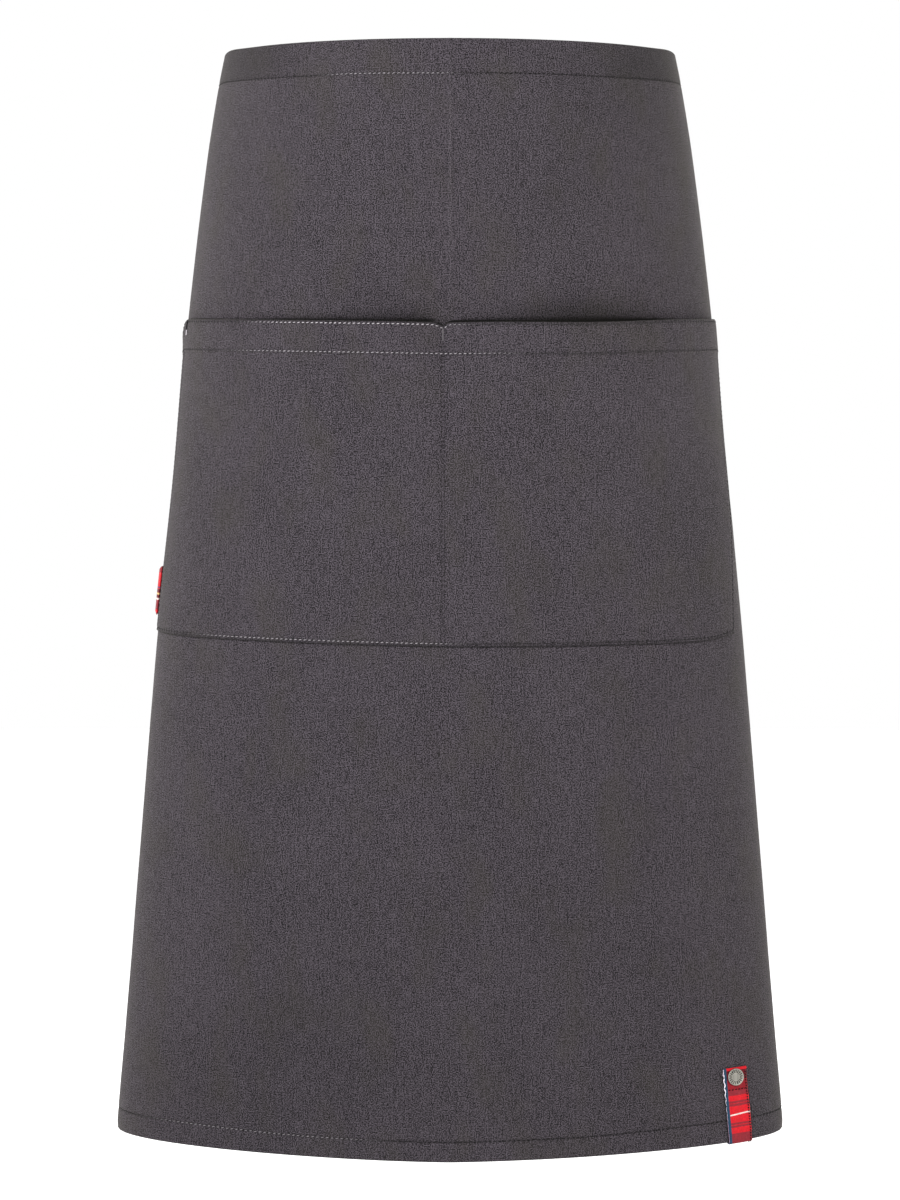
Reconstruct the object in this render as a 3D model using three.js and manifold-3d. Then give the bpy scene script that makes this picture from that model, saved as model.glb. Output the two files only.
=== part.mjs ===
// Bistro apron in the shape that it has when worn and tied at the back.
// Millimetres, +Z up, front towards -Y, +X to the right of someone who looks at the front.
// The origin is the centre of the waist opening, level with the top edge at the centre front.

import * as THREE from 'three';
import { mergeVertices } from 'three/addons/utils/BufferGeometryUtils.js';
import Module from 'manifold-3d';

// Worn shape: half widths and depths are measured from the body's axis. The sides hang a little higher
// than the front: the rise grows with the rise curve up to just past the widest line.
const APRON_LENGTH = 800;
const WAIST_HALF_WIDTH = 167.4;
const HEM_HALF_WIDTH = 242.8;
const WAIST_DEPTH = 126;
const HEM_FRONT_DEPTH = 160;
const SEAT_DEPTH = 150;
const SIDE_FORWARD = 75;
const SIDE_RISE = 12;
const RISE_CURVE = 1.4;
const RISE_END = 1.15;
const BACK_GAP = 26;

// Cloth: one wall, thicker where it is turned over
const CLOTH_WALL = 1.2;
const HEM_FOLD = 1.0;
const HEM_STEP = 1.5;
const TOP_HEM = 26;
const BOTTOM_HEM = 14;
const SIDE_HEM = 12;
const SEAM_GAP = 0.3;

// Pocket: places are measured on the cloth, down from the top edge and across from the centre front
const POCKET_DROP = 203.5;
const POCKET_HEIGHT = 230;
const POCKET_MOUTH_HEM = 21;
const POCKET_LEFT_TOP = 236;
const POCKET_LEFT_BOTTOM = 258;
const POCKET_RIGHT_TOP = 243;
const POCKET_RIGHT_BOTTOM = 227;
const POCKET_DIVIDER = -5;
const POCKET_GAPE_LEFT = 9;
const POCKET_GAPE_RIGHT = 12;
const GAPE_CURVE = 1.5;
const DIVIDER_DIP = 3;
const MOUTH_CORNER = 4;
const CORNER_LIFT = 5;

// Ribbon and stud
const RIBBON_WALL = 1.0;
const TAB_WIDTH = 18.5;
const TAB_HEIGHT = 52.5;
const TAB_PLACE = 217;
const TAB_LEAN = 0.065;
const STUD_RADIUS = 6.25;
const STUD_CAP_HEIGHT = 1.8;
const STUD_RIM = 0.8;
const STUD_RIM_WIDTH = 1.1;
const STUD_DROP = 6.8;
const STUD_SHIFT = -1;
const POST_RADIUS = 1.8;
const STUD_BACK_RADIUS = 5;
const STUD_BACK_HEIGHT = 1.2;
const TAG_HEIGHT = 34;
const TAG_REACH = 12;
const TAG_DROP = 184;
const TAG_LIFT_TOP = 0.6;
const TAG_LIFT_BOTTOM = 1.3;

// Waist tapes and their knot
const TIE_WIDTH = 22;
const TIE_WALL = 1.2;
const TIE_TUCK = 30;
const KNOT_WIDTH = 20;
const KNOT_DEPTH = 13;
const KNOT_HEIGHT = 24;
const TAIL_LENGTH = 150;
const TAIL_SPREAD = 16;

// Facets: columns are closer together round the sides, from one share of the waist's side arc to another
const ROUND_START = 0.75;
const ROUND_END = 1.4;
const ARC_STEPS = 90;
const FLAT_COLUMN = 16;
const ROUND_COLUMN = 9;
const ROW_STEP = 62;
const ROUND_SIDES = 16;
const CAP_SIDES = 24;

// Sections from the waist down. drop is a share of the length. The other columns are shares of the way
// from the waist's value to the full one: flare of the half width, front and seat of the depths,
// forward of how far the widest line lies before the axis, and rise of how much higher the sides hang.
const SECTIONS = [
  { drop: 0.00, flare: 0.000, front: 0.00, seat: 0.00, forward: 0.00, rise: 0.00 },
  { drop: 0.03, flare: 0.053, front: 0.06, seat: 0.12, forward: 0.04, rise: 0.29 },
  { drop: 0.10, flare: 0.160, front: 0.32, seat: 0.50, forward: 0.16, rise: 0.50 },
  { drop: 0.25, flare: 0.334, front: 0.70, seat: 1.00, forward: 0.43, rise: 0.58 },
  { drop: 0.40, flare: 0.463, front: 0.82, seat: 1.00, forward: 0.59, rise: 0.54 },
  { drop: 0.55, flare: 0.633, front: 0.91, seat: 0.92, forward: 0.71, rise: 0.54 },
  { drop: 0.75, flare: 0.793, front: 0.97, seat: 0.88, forward: 0.85, rise: 0.71 },
  { drop: 1.00, flare: 1.000, front: 1.00, seat: 0.84, forward: 1.00, rise: 1.00 },
];

// How far the mouth stands off, from the divider to the side edge, as shares of each side's gape
const MOUTH = [
  { across: 0.00, left: 0.00, right: 0.00 },
  { across: 0.07, left: 0.62, right: 0.45 },
  { across: 0.16, left: 1.00, right: 0.80 },
  { across: 0.35, left: 0.80, right: 1.00 },
  { across: 0.60, left: 0.50, right: 0.92 },
  { across: 0.82, left: 0.22, right: 0.40 },
  { across: 1.00, left: 0.00, right: 0.00 },
];

// How far the pocket's bottom seam lies above a straight line, as shares of the corner lift
const BOTTOM_SEAM = [
  { across: -1.00, lift: 1.00 },
  { across: -0.85, lift: 0.55 },
  { across: -0.45, lift: 0.15 },
  { across: 0.00, lift: 0.00 },
  { across: 0.50, lift: -0.30 },
  { across: 0.86, lift: -0.40 },
  { across: 1.00, lift: 0.35 },
];

// Reads a column of a table at any place between its rows, along a smooth curve through them
function readTable(rows, along, column, place) {
  const last = rows.length - 1;
  const at = THREE.MathUtils.clamp(place, rows[0][along], rows[last][along]);
  let low = 0;
  while (low < last - 1 && at > rows[low + 1][along]) low += 1;
  const slope = (index) => {
    const before = rows[Math.max(index - 1, 0)];
    const after = rows[Math.min(index + 1, last)];
    return (after[column] - before[column]) / (after[along] - before[along]);
  };
  const span = rows[low + 1][along] - rows[low][along];
  const part = (at - rows[low][along]) / span;
  const square = part * part;
  const cube = square * part;
  return rows[low][column] * (2 * cube - 3 * square + 1)
    + slope(low) * span * (cube - 2 * square + part)
    + rows[low + 1][column] * (3 * square - 2 * cube)
    + slope(low + 1) * span * (cube - square);
}

const lerp = THREE.MathUtils.lerp;

// One level section: half an ellipse in front of the widest line and half an ellipse behind it,
// with the arc length from the centre front at each of its steps
const sectionCache = new Map();
function sectionAt(drop) {
  if (sectionCache.has(drop)) return sectionCache.get(drop);
  const share = drop / APRON_LENGTH;
  const read = (column) => readTable(SECTIONS, 'drop', column, share);
  const forward = SIDE_FORWARD * read('forward');
  const section = {
    halfWidth: lerp(WAIST_HALF_WIDTH, HEM_HALF_WIDTH, read('flare')),
    forward,
    front: lerp(WAIST_DEPTH, HEM_FRONT_DEPTH, read('front')) - forward,
    back: lerp(WAIST_DEPTH, SEAT_DEPTH, read('seat')) + forward,
    rise: SIDE_RISE * read('rise'),
    arcs: [0],
  };
  let previous = sectionPoint(section, 0);
  for (let step = 1; step <= ARC_STEPS; step += 1) {
    const next = sectionPoint(section, (Math.PI * step) / ARC_STEPS);
    section.arcs.push(section.arcs[step - 1] + previous.distanceTo(next));
    previous = next;
  }
  sectionCache.set(drop, section);
  return section;
}

function sectionPoint(section, angle) {
  const depth = Math.cos(angle) > 0 ? section.front : section.back;
  return new THREE.Vector2(section.halfWidth * Math.sin(angle), -section.forward - depth * Math.cos(angle));
}

// The angle at which the arc from the centre front has a given length
function angleAt(section, arc) {
  let step = 1;
  while (step < ARC_STEPS && section.arcs[step] < arc) step += 1;
  const before = section.arcs[step - 1];
  const part = (arc - before) / (section.arcs[step] - before);
  return (Math.PI * (step - 1 + part)) / ARC_STEPS;
}

const waist = sectionAt(0);
const CLOTH_WIDTH = 2 * waist.arcs[ARC_STEPS] - BACK_GAP;

// A point of the worn cloth: across and drop are measured on the flat cloth, out is the distance
// from its outer face, positive away from the body
function clothPoint(across, drop, out = 0) {
  const section = sectionAt(drop);
  const arc = Math.abs(across);
  const angle = angleAt(section, arc);
  const flat = sectionPoint(section, angle);
  const depth = Math.cos(angle) > 0 ? section.front : section.back;
  const normal = new THREE.Vector2(Math.sin(angle) / section.halfWidth, -Math.cos(angle) / depth);
  flat.addScaledVector(normal.normalize(), out);
  const widestArc = section.arcs[ARC_STEPS / 2];
  const rise = section.rise * Math.min(arc / widestArc, RISE_END) ** RISE_CURVE;
  return new THREE.Vector3(Math.sign(across) * flat.x, flat.y, rise - drop);
}

// Direction away from the body, square to the cloth
function clothNormal(across, drop) {
  const reach = 2;
  const sideways = clothPoint(across + reach, drop).sub(clothPoint(across - reach, drop));
  const upward = clothPoint(across, drop - reach).sub(clothPoint(across, drop + reach));
  return sideways.cross(upward).normalize();
}

// Values from one end to the other, evenly spaced and no further apart than the step
function spread(from, to, step) {
  const count = Math.max(1, Math.ceil(Math.abs(to - from) / step));
  return Array.from({ length: count + 1 }, (_, index) => lerp(from, to, index / count));
}

function joined(...lists) {
  return [...new Set(lists.flat())].sort((a, b) => a - b);
}

// A closed wall: place(column, row, face) gives its points, face 1 on one side and 0 on the other.
// Seen on face 1, columns run to the right and rows run down.
function wallGeometry(columns, rows, place) {
  const points = [];
  for (const face of [1, 0]) {
    for (const row of rows) {
      for (const column of columns) points.push(place(column, row, face));
    }
  }
  const across = columns.length;
  const down = rows.length;
  const index = (column, row, face) => (1 - face) * across * down + row * across + column;
  const faces = [];
  const quad = (a, b, c, d) => faces.push(a, b, c, a, c, d);
  for (let row = 0; row < down - 1; row += 1) {
    for (let column = 0; column < across - 1; column += 1) {
      const next = column + 1;
      const below = row + 1;
      quad(index(column, below, 1), index(next, below, 1), index(next, row, 1), index(column, row, 1));
      quad(index(column, row, 0), index(next, row, 0), index(next, below, 0), index(column, below, 0));
    }
  }
  for (let column = 0; column < across - 1; column += 1) {
    const next = column + 1;
    const end = down - 1;
    quad(index(column, 0, 1), index(next, 0, 1), index(next, 0, 0), index(column, 0, 0));
    quad(index(column, end, 0), index(next, end, 0), index(next, end, 1), index(column, end, 1));
  }
  for (let row = 0; row < down - 1; row += 1) {
    const below = row + 1;
    const end = across - 1;
    quad(index(0, row, 1), index(0, row, 0), index(0, below, 0), index(0, below, 1));
    quad(index(end, row, 0), index(end, row, 1), index(end, below, 1), index(end, below, 0));
  }
  const geometry = new THREE.BufferGeometry().setFromPoints(points);
  geometry.setIndex(faces);
  return geometry;
}

const wasm = await Module();
wasm.setup();

function toSolid(geometry) {
  const bare = geometry.clone();
  bare.deleteAttribute('normal');
  bare.deleteAttribute('uv');
  const merged = mergeVertices(bare, 1e-4);
  return new wasm.Manifold(new wasm.Mesh({
    numProp: 3,
    vertProperties: Float32Array.from(merged.attributes.position.array),
    triVerts: Uint32Array.from(merged.index.array),
  }));
}

function toGeometry(solid) {
  const mesh = solid.getMesh();
  const geometry = new THREE.BufferGeometry();
  geometry.setAttribute('position', new THREE.BufferAttribute(Float32Array.from(mesh.vertProperties), 3));
  geometry.setIndex(Array.from(mesh.triVerts));
  return geometry;
}

// Panel: the rows and columns have a pair of lines on both sides of each hem's inner edge
const HALF_CLOTH = CLOTH_WIDTH / 2;
const SIDE_ARC = waist.arcs[ARC_STEPS / 2];
const HEM_TOP = APRON_LENGTH - BOTTOM_HEM;
const POCKET_BOTTOM = POCKET_DROP + POCKET_HEIGHT;

const clothRows = joined(
  [0, TOP_HEM, TOP_HEM + HEM_STEP],
  spread(TOP_HEM + HEM_STEP, POCKET_DROP, ROW_STEP),
  [POCKET_DROP + POCKET_MOUTH_HEM, POCKET_DROP + POCKET_MOUTH_HEM + HEM_STEP],
  spread(POCKET_DROP + POCKET_MOUTH_HEM + HEM_STEP, POCKET_BOTTOM, ROW_STEP),
  spread(POCKET_BOTTOM, HEM_TOP - HEM_STEP, ROW_STEP),
  [HEM_TOP, APRON_LENGTH],
);

const halfColumns = joined(
  spread(0, ROUND_START * SIDE_ARC, FLAT_COLUMN),
  spread(ROUND_START * SIDE_ARC, ROUND_END * SIDE_ARC, ROUND_COLUMN),
  spread(ROUND_END * SIDE_ARC, HALF_CLOTH - SIDE_HEM - HEM_STEP, FLAT_COLUMN),
  [HALF_CLOTH - SIDE_HEM, HALF_CLOTH],
);
const clothColumns = joined(halfColumns.map((across) => -across), halfColumns.slice(1));

function isTurned(across, drop) {
  return drop <= TOP_HEM || drop >= HEM_TOP || Math.abs(across) >= HALF_CLOTH - SIDE_HEM;
}

function panelGeometry() {
  return wallGeometry(clothColumns, clothRows, (across, drop, face) => {
    const wall = isTurned(across, drop) ? CLOTH_WALL + HEM_FOLD : CLOTH_WALL;
    return clothPoint(across, drop, face === 1 ? 0 : -wall);
  });
}

// Pocket: across runs from -1 at the left edge over 0 at the divider to 1 at the right edge
function pocketAcross(across, drop) {
  const down = (drop - POCKET_DROP) / POCKET_HEIGHT;
  const left = lerp(POCKET_LEFT_TOP, POCKET_LEFT_BOTTOM, down) + POCKET_DIVIDER;
  const right = lerp(POCKET_RIGHT_TOP, POCKET_RIGHT_BOTTOM, down) - POCKET_DIVIDER;
  return POCKET_DIVIDER + across * (across < 0 ? left : right);
}

function pocketStand(across, drop) {
  const down = (drop - POCKET_DROP) / POCKET_HEIGHT;
  const gape = across < 0 ? POCKET_GAPE_LEFT : POCKET_GAPE_RIGHT;
  const share = readTable(MOUTH, 'across', across < 0 ? 'left' : 'right', Math.abs(across));
  return gape * share * (1 - down) ** GAPE_CURVE;
}

function pocketDrop(across, drop) {
  const down = (drop - POCKET_DROP) / POCKET_HEIGHT;
  const lift = CORNER_LIFT * readTable(BOTTOM_SEAM, 'across', 'lift', across) * down;
  const dip = DIVIDER_DIP * Math.max(0, 1 - Math.abs(across) / MOUTH[1].across);
  const corner = MOUTH_CORNER * Math.max(0, (Math.abs(across) - CORNER_START) / (1 - CORNER_START));
  return drop - lift + (dip + corner) * (1 - down);
}

const CORNER_START = 1 - (2 * MOUTH_CORNER) / POCKET_LEFT_TOP;

function pocketPoint(across, drop, out) {
  const place = pocketDrop(across, drop);
  return clothPoint(pocketAcross(across, place), place, out + pocketStand(across, drop));
}

function pocketGeometry() {
  const fine = MOUTH[1].across;
  const halfShares = joined(
    spread(0, fine, fine / 2),
    spread(fine, ROUND_START, FLAT_COLUMN / POCKET_LEFT_TOP),
    spread(ROUND_START, CORNER_START, ROUND_COLUMN / POCKET_LEFT_TOP),
    [1],
  );
  const columns = joined(halfShares.map((share) => -share), halfShares.slice(1));
  const rows = clothRows.filter((drop) => drop >= POCKET_DROP && drop <= POCKET_BOTTOM);
  return wallGeometry(columns, rows, (across, drop, face) => {
    const turned = drop <= POCKET_DROP + POCKET_MOUTH_HEM;
    const wall = turned ? CLOTH_WALL + HEM_FOLD : CLOTH_WALL;
    return pocketPoint(across, drop, SEAM_GAP + (face === 1 ? wall : 0));
  });
}

// Hem tab: ribbon down the front, round the hem and up the back. Each station has its drop and the
// distance of both faces of the ribbon from the panel's outer face.
const HEM_WALL = CLOTH_WALL + HEM_FOLD;
const TURN_RADIUS = HEM_WALL / 2 + SEAM_GAP;

function tabStations() {
  const legDrops = spread(APRON_LENGTH - TAB_HEIGHT, APRON_LENGTH, 11);
  const leg = (drop, side) => ({ drop, near: side * TURN_RADIUS, far: side * (TURN_RADIUS + RIBBON_WALL) });
  const turn = spread(0, Math.PI, Math.PI / 4).slice(1, -1).map((angle) => ({
    drop: APRON_LENGTH + TURN_RADIUS * Math.sin(angle),
    farDrop: APRON_LENGTH + (TURN_RADIUS + RIBBON_WALL) * Math.sin(angle),
    near: TURN_RADIUS * Math.cos(angle),
    far: (TURN_RADIUS + RIBBON_WALL) * Math.cos(angle),
  }));
  const front = legDrops.map((drop) => leg(drop, 1));
  const back = legDrops.map((drop) => leg(drop, -1)).reverse();
  return [...front, ...turn, ...back];
}

function tabAcross(offset, drop) {
  return TAB_PLACE + offset - TAB_LEAN * (APRON_LENGTH - drop);
}

function hemTabGeometry() {
  const stations = tabStations();
  const columns = spread(-TAB_WIDTH / 2, TAB_WIDTH / 2, TAB_WIDTH / 4);
  return wallGeometry(columns, stations, (offset, station, face) => {
    const drop = face === 1 ? station.farDrop ?? station.drop : station.drop;
    const out = (face === 1 ? station.far : station.near) - HEM_WALL / 2;
    return clothPoint(tabAcross(offset, drop), drop, out);
  });
}

// Stud: a rimmed disc with a post through the ribbon, the cloth and the ribbon's back leg
const STUD_SEAT = SEAM_GAP + RIBBON_WALL + SEAM_GAP;
const STUD_BACK_SEAT = -HEM_WALL - SEAM_GAP - RIBBON_WALL - SEAM_GAP;
const STUD_END = STUD_BACK_SEAT - STUD_BACK_HEIGHT;
const STUD_HOLE = POST_RADIUS + SEAM_GAP;

function turned(outline, sides) {
  return new THREE.LatheGeometry(outline.map(([radius, height]) => new THREE.Vector2(radius, height)), sides);
}

function atStud(geometry) {
  const drop = APRON_LENGTH - TAB_HEIGHT + STUD_DROP;
  const across = tabAcross(STUD_SHIFT, drop);
  const place = new THREE.Object3D();
  place.position.copy(clothPoint(across, drop));
  place.quaternion.setFromUnitVectors(new THREE.Vector3(0, 1, 0), clothNormal(across, drop));
  place.updateMatrix();
  return geometry.applyMatrix4(place.matrix);
}

function studCapGeometry() {
  const top = STUD_SEAT + STUD_CAP_HEIGHT;
  const sunk = top - STUD_RIM;
  const inner = STUD_RADIUS - STUD_RIM_WIDTH;
  return atStud(turned([
    [0, STUD_END], [POST_RADIUS, STUD_END], [POST_RADIUS, STUD_SEAT], [STUD_RADIUS, STUD_SEAT],
    [STUD_RADIUS, sunk], [STUD_RADIUS - STUD_RIM_WIDTH / 2, top], [inner, sunk], [0, sunk],
  ], CAP_SIDES));
}

function studBackGeometry() {
  return atStud(turned([
    [STUD_HOLE, STUD_END], [STUD_BACK_RADIUS, STUD_END], [STUD_BACK_RADIUS, STUD_BACK_SEAT],
    [STUD_HOLE, STUD_BACK_SEAT], [STUD_HOLE, STUD_END],
  ], ROUND_SIDES));
}

function studHole() {
  const reach = 2 * (STUD_SEAT - STUD_END);
  return toSolid(atStud(new THREE.CylinderGeometry(STUD_HOLE, STUD_HOLE, reach, ROUND_SIDES)));
}

// Side tag: a flat ribbon loop that leaves the pocket's left edge and stands a little off the panel
function sideTagGeometry() {
  const gap = SEAM_GAP / 2;
  const layer = gap + RIBBON_WALL;
  const reach = TAG_REACH - layer;
  const legs = spread(0, reach, TAG_REACH / 3);
  const leg = (along, side) => ({ along, near: side * gap, far: side * layer });
  const bend = spread(0, Math.PI, Math.PI / 4).slice(1, -1).map((angle) => ({
    along: reach + gap * Math.sin(angle),
    farAlong: reach + layer * Math.sin(angle),
    near: gap * Math.cos(angle),
    far: layer * Math.cos(angle),
  }));
  const stations = [
    ...legs.map((along) => leg(along, 1)),
    ...bend,
    ...legs.map((along) => leg(along, -1)).reverse(),
  ];
  const top = POCKET_DROP + TAG_DROP;
  const downs = spread(top, top + TAG_HEIGHT, TAG_HEIGHT / 3);
  return wallGeometry(downs, stations, (drop, station, face) => {
    const along = face === 1 ? station.farAlong ?? station.along : station.along;
    const lift = lerp(TAG_LIFT_TOP, TAG_LIFT_BOTTOM, (drop - top) / TAG_HEIGHT) * (along / TAG_REACH);
    const out = layer + SEAM_GAP + lift + (face === 1 ? station.far : station.near);
    return clothPoint(pocketAcross(-1, drop) - SEAM_GAP - along, drop, out);
  });
}

// Waist tapes: each starts inside the side hem and runs along the waist to the knot
const TIE_TOP = (TOP_HEM - TIE_WIDTH) / 2;
const TIE_MIDDLE = TIE_TOP + TIE_WIDTH / 2;
const TIE_OUT = -HEM_WALL - SEAM_GAP;

function tieGeometry(side) {
  const fromBack = spread(BACK_GAP / 2 + TIE_TUCK, KNOT_WIDTH / 2 + SEAM_GAP, 7);
  const columns = side > 0 ? fromBack : fromBack.reverse();
  const rows = spread(TIE_TOP, TIE_TOP + TIE_WIDTH, TIE_WIDTH / 2);
  return wallGeometry(columns, rows, (distance, drop, face) => {
    const across = side * (sectionAt(drop).arcs[ARC_STEPS] - distance);
    return clothPoint(across, drop, TIE_OUT - (face === 1 ? 0 : TIE_WALL));
  });
}

// Knot: an oval barrel between the two tapes, with two hanging ends that follow the body's back
function backLine(drop, out) {
  const section = sectionAt(drop);
  return section.back - section.forward + out;
}

function tailGeometry(side) {
  const columns = spread(TIE_WIDTH / 2, -TIE_WIDTH / 2, TIE_WIDTH / 2);
  const downs = spread(0, TAIL_LENGTH, TAIL_LENGTH / 6);
  const layer = TIE_OUT + KNOT_DEPTH / 4 + side * TIE_WALL;
  return wallGeometry(columns, downs, (across, down, face) => {
    const aside = side * TAIL_SPREAD * (down / TAIL_LENGTH);
    const drop = TIE_MIDDLE + down;
    const out = layer + (face === 1 ? TIE_WALL : -TIE_WALL) / 2;
    return new THREE.Vector3(across + aside, backLine(drop, out), -drop);
  });
}

function knotGeometry() {
  const outline = new THREE.Shape();
  outline.absellipse(0, 0, KNOT_WIDTH / 2, KNOT_DEPTH / 2, 0, 2 * Math.PI);
  const barrel = new THREE.ExtrudeGeometry(outline, {
    depth: KNOT_HEIGHT,
    bevelEnabled: false,
    curveSegments: ROUND_SIDES / 2,
  });
  barrel.translate(0, backLine(TIE_MIDDLE, TIE_OUT - TIE_WALL / 2), -TIE_MIDDLE - KNOT_HEIGHT / 2);
  const knot = toSolid(barrel).add(toSolid(tailGeometry(-1))).add(toSolid(tailGeometry(1)));
  return toGeometry(knot);
}

// Looks
const cloth = new THREE.MeshStandardMaterial({ color: 0x534e54, roughness: 0.92, metalness: 0 });
const ribbon = new THREE.MeshStandardMaterial({ color: 0xc4222f, roughness: 0.75, metalness: 0 });
const pewter = new THREE.MeshStandardMaterial({ color: 0x9b9a94, roughness: 0.38, metalness: 1 });

function piece(name, geometry, material) {
  geometry.computeVertexNormals();
  const mesh = new THREE.Mesh(geometry, material);
  mesh.name = name;
  return mesh;
}

function cutBy(geometry, tool) {
  return toGeometry(toSolid(geometry).subtract(tool));
}

const hole = studHole();
const apron = new THREE.Group();
apron.add(
  piece('panel', cutBy(panelGeometry(), hole), cloth),
  piece('pocket', pocketGeometry(), cloth),
  piece('hem_tab', cutBy(hemTabGeometry(), hole), ribbon),
  piece('stud_cap', studCapGeometry(), pewter),
  piece('stud_back', studBackGeometry(), pewter),
  piece('side_tag', sideTagGeometry(), ribbon),
  piece('tie_left', tieGeometry(-1), cloth),
  piece('tie_right', tieGeometry(1), cloth),
  piece('tie_knot', knotGeometry(), cloth),
);

export default apron;
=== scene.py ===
import math

import bpy
import numpy as np
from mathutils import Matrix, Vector


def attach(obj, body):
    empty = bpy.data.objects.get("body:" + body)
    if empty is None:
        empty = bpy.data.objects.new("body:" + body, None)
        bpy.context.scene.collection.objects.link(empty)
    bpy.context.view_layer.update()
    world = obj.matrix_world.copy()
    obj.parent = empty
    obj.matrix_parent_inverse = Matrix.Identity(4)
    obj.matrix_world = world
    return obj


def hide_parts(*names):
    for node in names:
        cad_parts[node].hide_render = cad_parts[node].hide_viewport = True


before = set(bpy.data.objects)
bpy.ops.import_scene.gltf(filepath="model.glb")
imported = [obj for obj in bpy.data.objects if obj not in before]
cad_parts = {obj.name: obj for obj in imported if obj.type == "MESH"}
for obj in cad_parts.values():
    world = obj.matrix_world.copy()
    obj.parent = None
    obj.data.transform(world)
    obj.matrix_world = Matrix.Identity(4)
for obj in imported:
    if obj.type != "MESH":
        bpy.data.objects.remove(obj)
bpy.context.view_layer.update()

# Sizes in millimetres. Places on the cloth are measured across from the centre front and down from the
# top edge.
MM = 0.001
APRON_LENGTH = 800
WAIST_HALF_WIDTH = 167.4
HEM_HALF_WIDTH = 242.8
WAIST_DEPTH = 126
HEM_FRONT_DEPTH = 160
SEAT_DEPTH = 150
SIDE_FORWARD = 75
SIDE_RISE = 12
RISE_CURVE = 1.4
RISE_END = 1.15
BACK_GAP = 26

CLOTH_WALL = 1.2
HEM_FOLD = 1.0
HEM_WALL = CLOTH_WALL + HEM_FOLD
TOP_HEM = 27.2
BOTTOM_HEM = 17.2
SIDE_HEM = 12
SEAM_GAP = 0.3

POCKET_DROP = 203.5
POCKET_HEIGHT = 230
POCKET_LEFT_TOP = 236
POCKET_LEFT_BOTTOM = 250.5
POCKET_RIGHT_TOP = 243
POCKET_RIGHT_BOTTOM = 227
POCKET_DIVIDER = -5
POCKET_GAPE_LEFT = 9
POCKET_GAPE_RIGHT = 12
GAPE_CURVE = 1.5
DIVIDER_DIP = 2.4
NOTCH_LEFT = 7
NOTCH_RIGHT = 5
MOUTH_CORNER = 4
CORNER_LIFT = 5

RIBBON_WALL = 1.0
TAB_WIDTH = 19.4
TAB_HEIGHT = 54
TAB_PLACE = 215.6
TAB_LEAN = 0.082
STUD_RADIUS = 6.2
STUD_CAP_HEIGHT = 1.8
STUD_DROP = 6.8
STUD_SHIFT = -0.45
STUD_BACK_RADIUS = 5
STUD_BACK_HEIGHT = 1.2
TAG_HEIGHT = 35
TAG_REACH = 12
TAG_DROP = 181.4
TAG_LIFT_TOP = 1.9
TAG_LIFT_BOTTOM = 1.5
TAG_TAPER = 2.5

TIE_WIDTH = 22
TIE_WALL = 1.2
TIE_TUCK = 30
KNOT_WIDTH = 20
KNOT_DEPTH = 13
TAIL_LENGTH = 150
TAIL_SPREAD = 16

STITCH_PITCH = 3.5
STITCH_LENGTH = 2.35
THREAD = 0.27
FINE_THREAD = 0.8 * THREAD

# Sections from the waist down: drop is a share of the length, the other columns are shares of the way
# from the waist's value to the full one
SECTIONS = [
    # drop, flare, front, seat, forward, rise
    (0.00, 0.000, 0.00, 0.00, 0.00, 0.00),
    (0.03, 0.053, 0.06, 0.12, 0.04, 0.29),
    (0.10, 0.160, 0.32, 0.50, 0.16, 0.50),
    (0.25, 0.334, 0.70, 1.00, 0.43, 0.58),
    (0.40, 0.463, 0.82, 1.00, 0.59, 0.54),
    (0.55, 0.633, 0.91, 0.92, 0.71, 0.54),
    (0.75, 0.793, 0.97, 0.88, 0.85, 0.71),
    (1.00, 1.000, 1.00, 0.84, 1.00, 1.00),
]

# How far the pocket's mouth stands off, from the divider to the side edge, as shares of each side's gape
MOUTH = [
    # across, left, right
    (0.00, 0.00, 0.00),
    (0.07, 0.62, 0.45),
    (0.16, 1.00, 0.80),
    (0.35, 0.80, 1.00),
    (0.60, 0.50, 0.92),
    (0.82, 0.22, 0.40),
    (1.00, 0.00, 0.00),
]

# How far the pocket's bottom seam lies above a straight line, as shares of the corner lift
BOTTOM_SEAM = [
    # across, lift
    (-1.00, 0.50),
    (-0.85, 0.22),
    (-0.45, 0.10),
    (0.00, 0.00),
    (0.50, -0.30),
    (0.86, -0.40),
    (1.00, 0.35),
]

# Soft folds and hollows of the worn cloth: place, half sizes, how far the crest leans across for each
# millimetre down, and height, negative for a hollow
SOFT_FOLDS = [
    # across, drop, half_width, half_length, lean, height
    (-70, 120, 34, 90, 0.15, 0.8),
    (95, 110, 40, 80, -0.20, -0.9),
    (85, 206, 56, 22, 0.00, -6.0),
    (-30, 206, 26, 15, 0.00, -4.0),
    (-110, 560, 45, 150, 0.30, 0.9),
    (-20, 640, 40, 130, 0.25, -0.9),
    (80, 600, 48, 170, 0.18, 0.9),
    (-120, 740, 42, 60, 0.10, -1.0),
    (150, 720, 40, 90, -0.10, -0.8),
    (236, 345, 42, 55, 0.00, 2.0),
]

# How far the panel goes in just behind the pocket's mouth
TUCK = [
    # across, depth
    (-240, 0.0),
    (-160, 0.2),
    (-120, 2.0),
    (-60, 4.0),
    (-20, 4.5),
    (-5, 0.5),
    (12, 3.0),
    (60, 5.0),
    (120, 5.0),
    (160, 1.5),
    (190, 0.2),
    (245, 0.0),
]


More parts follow.
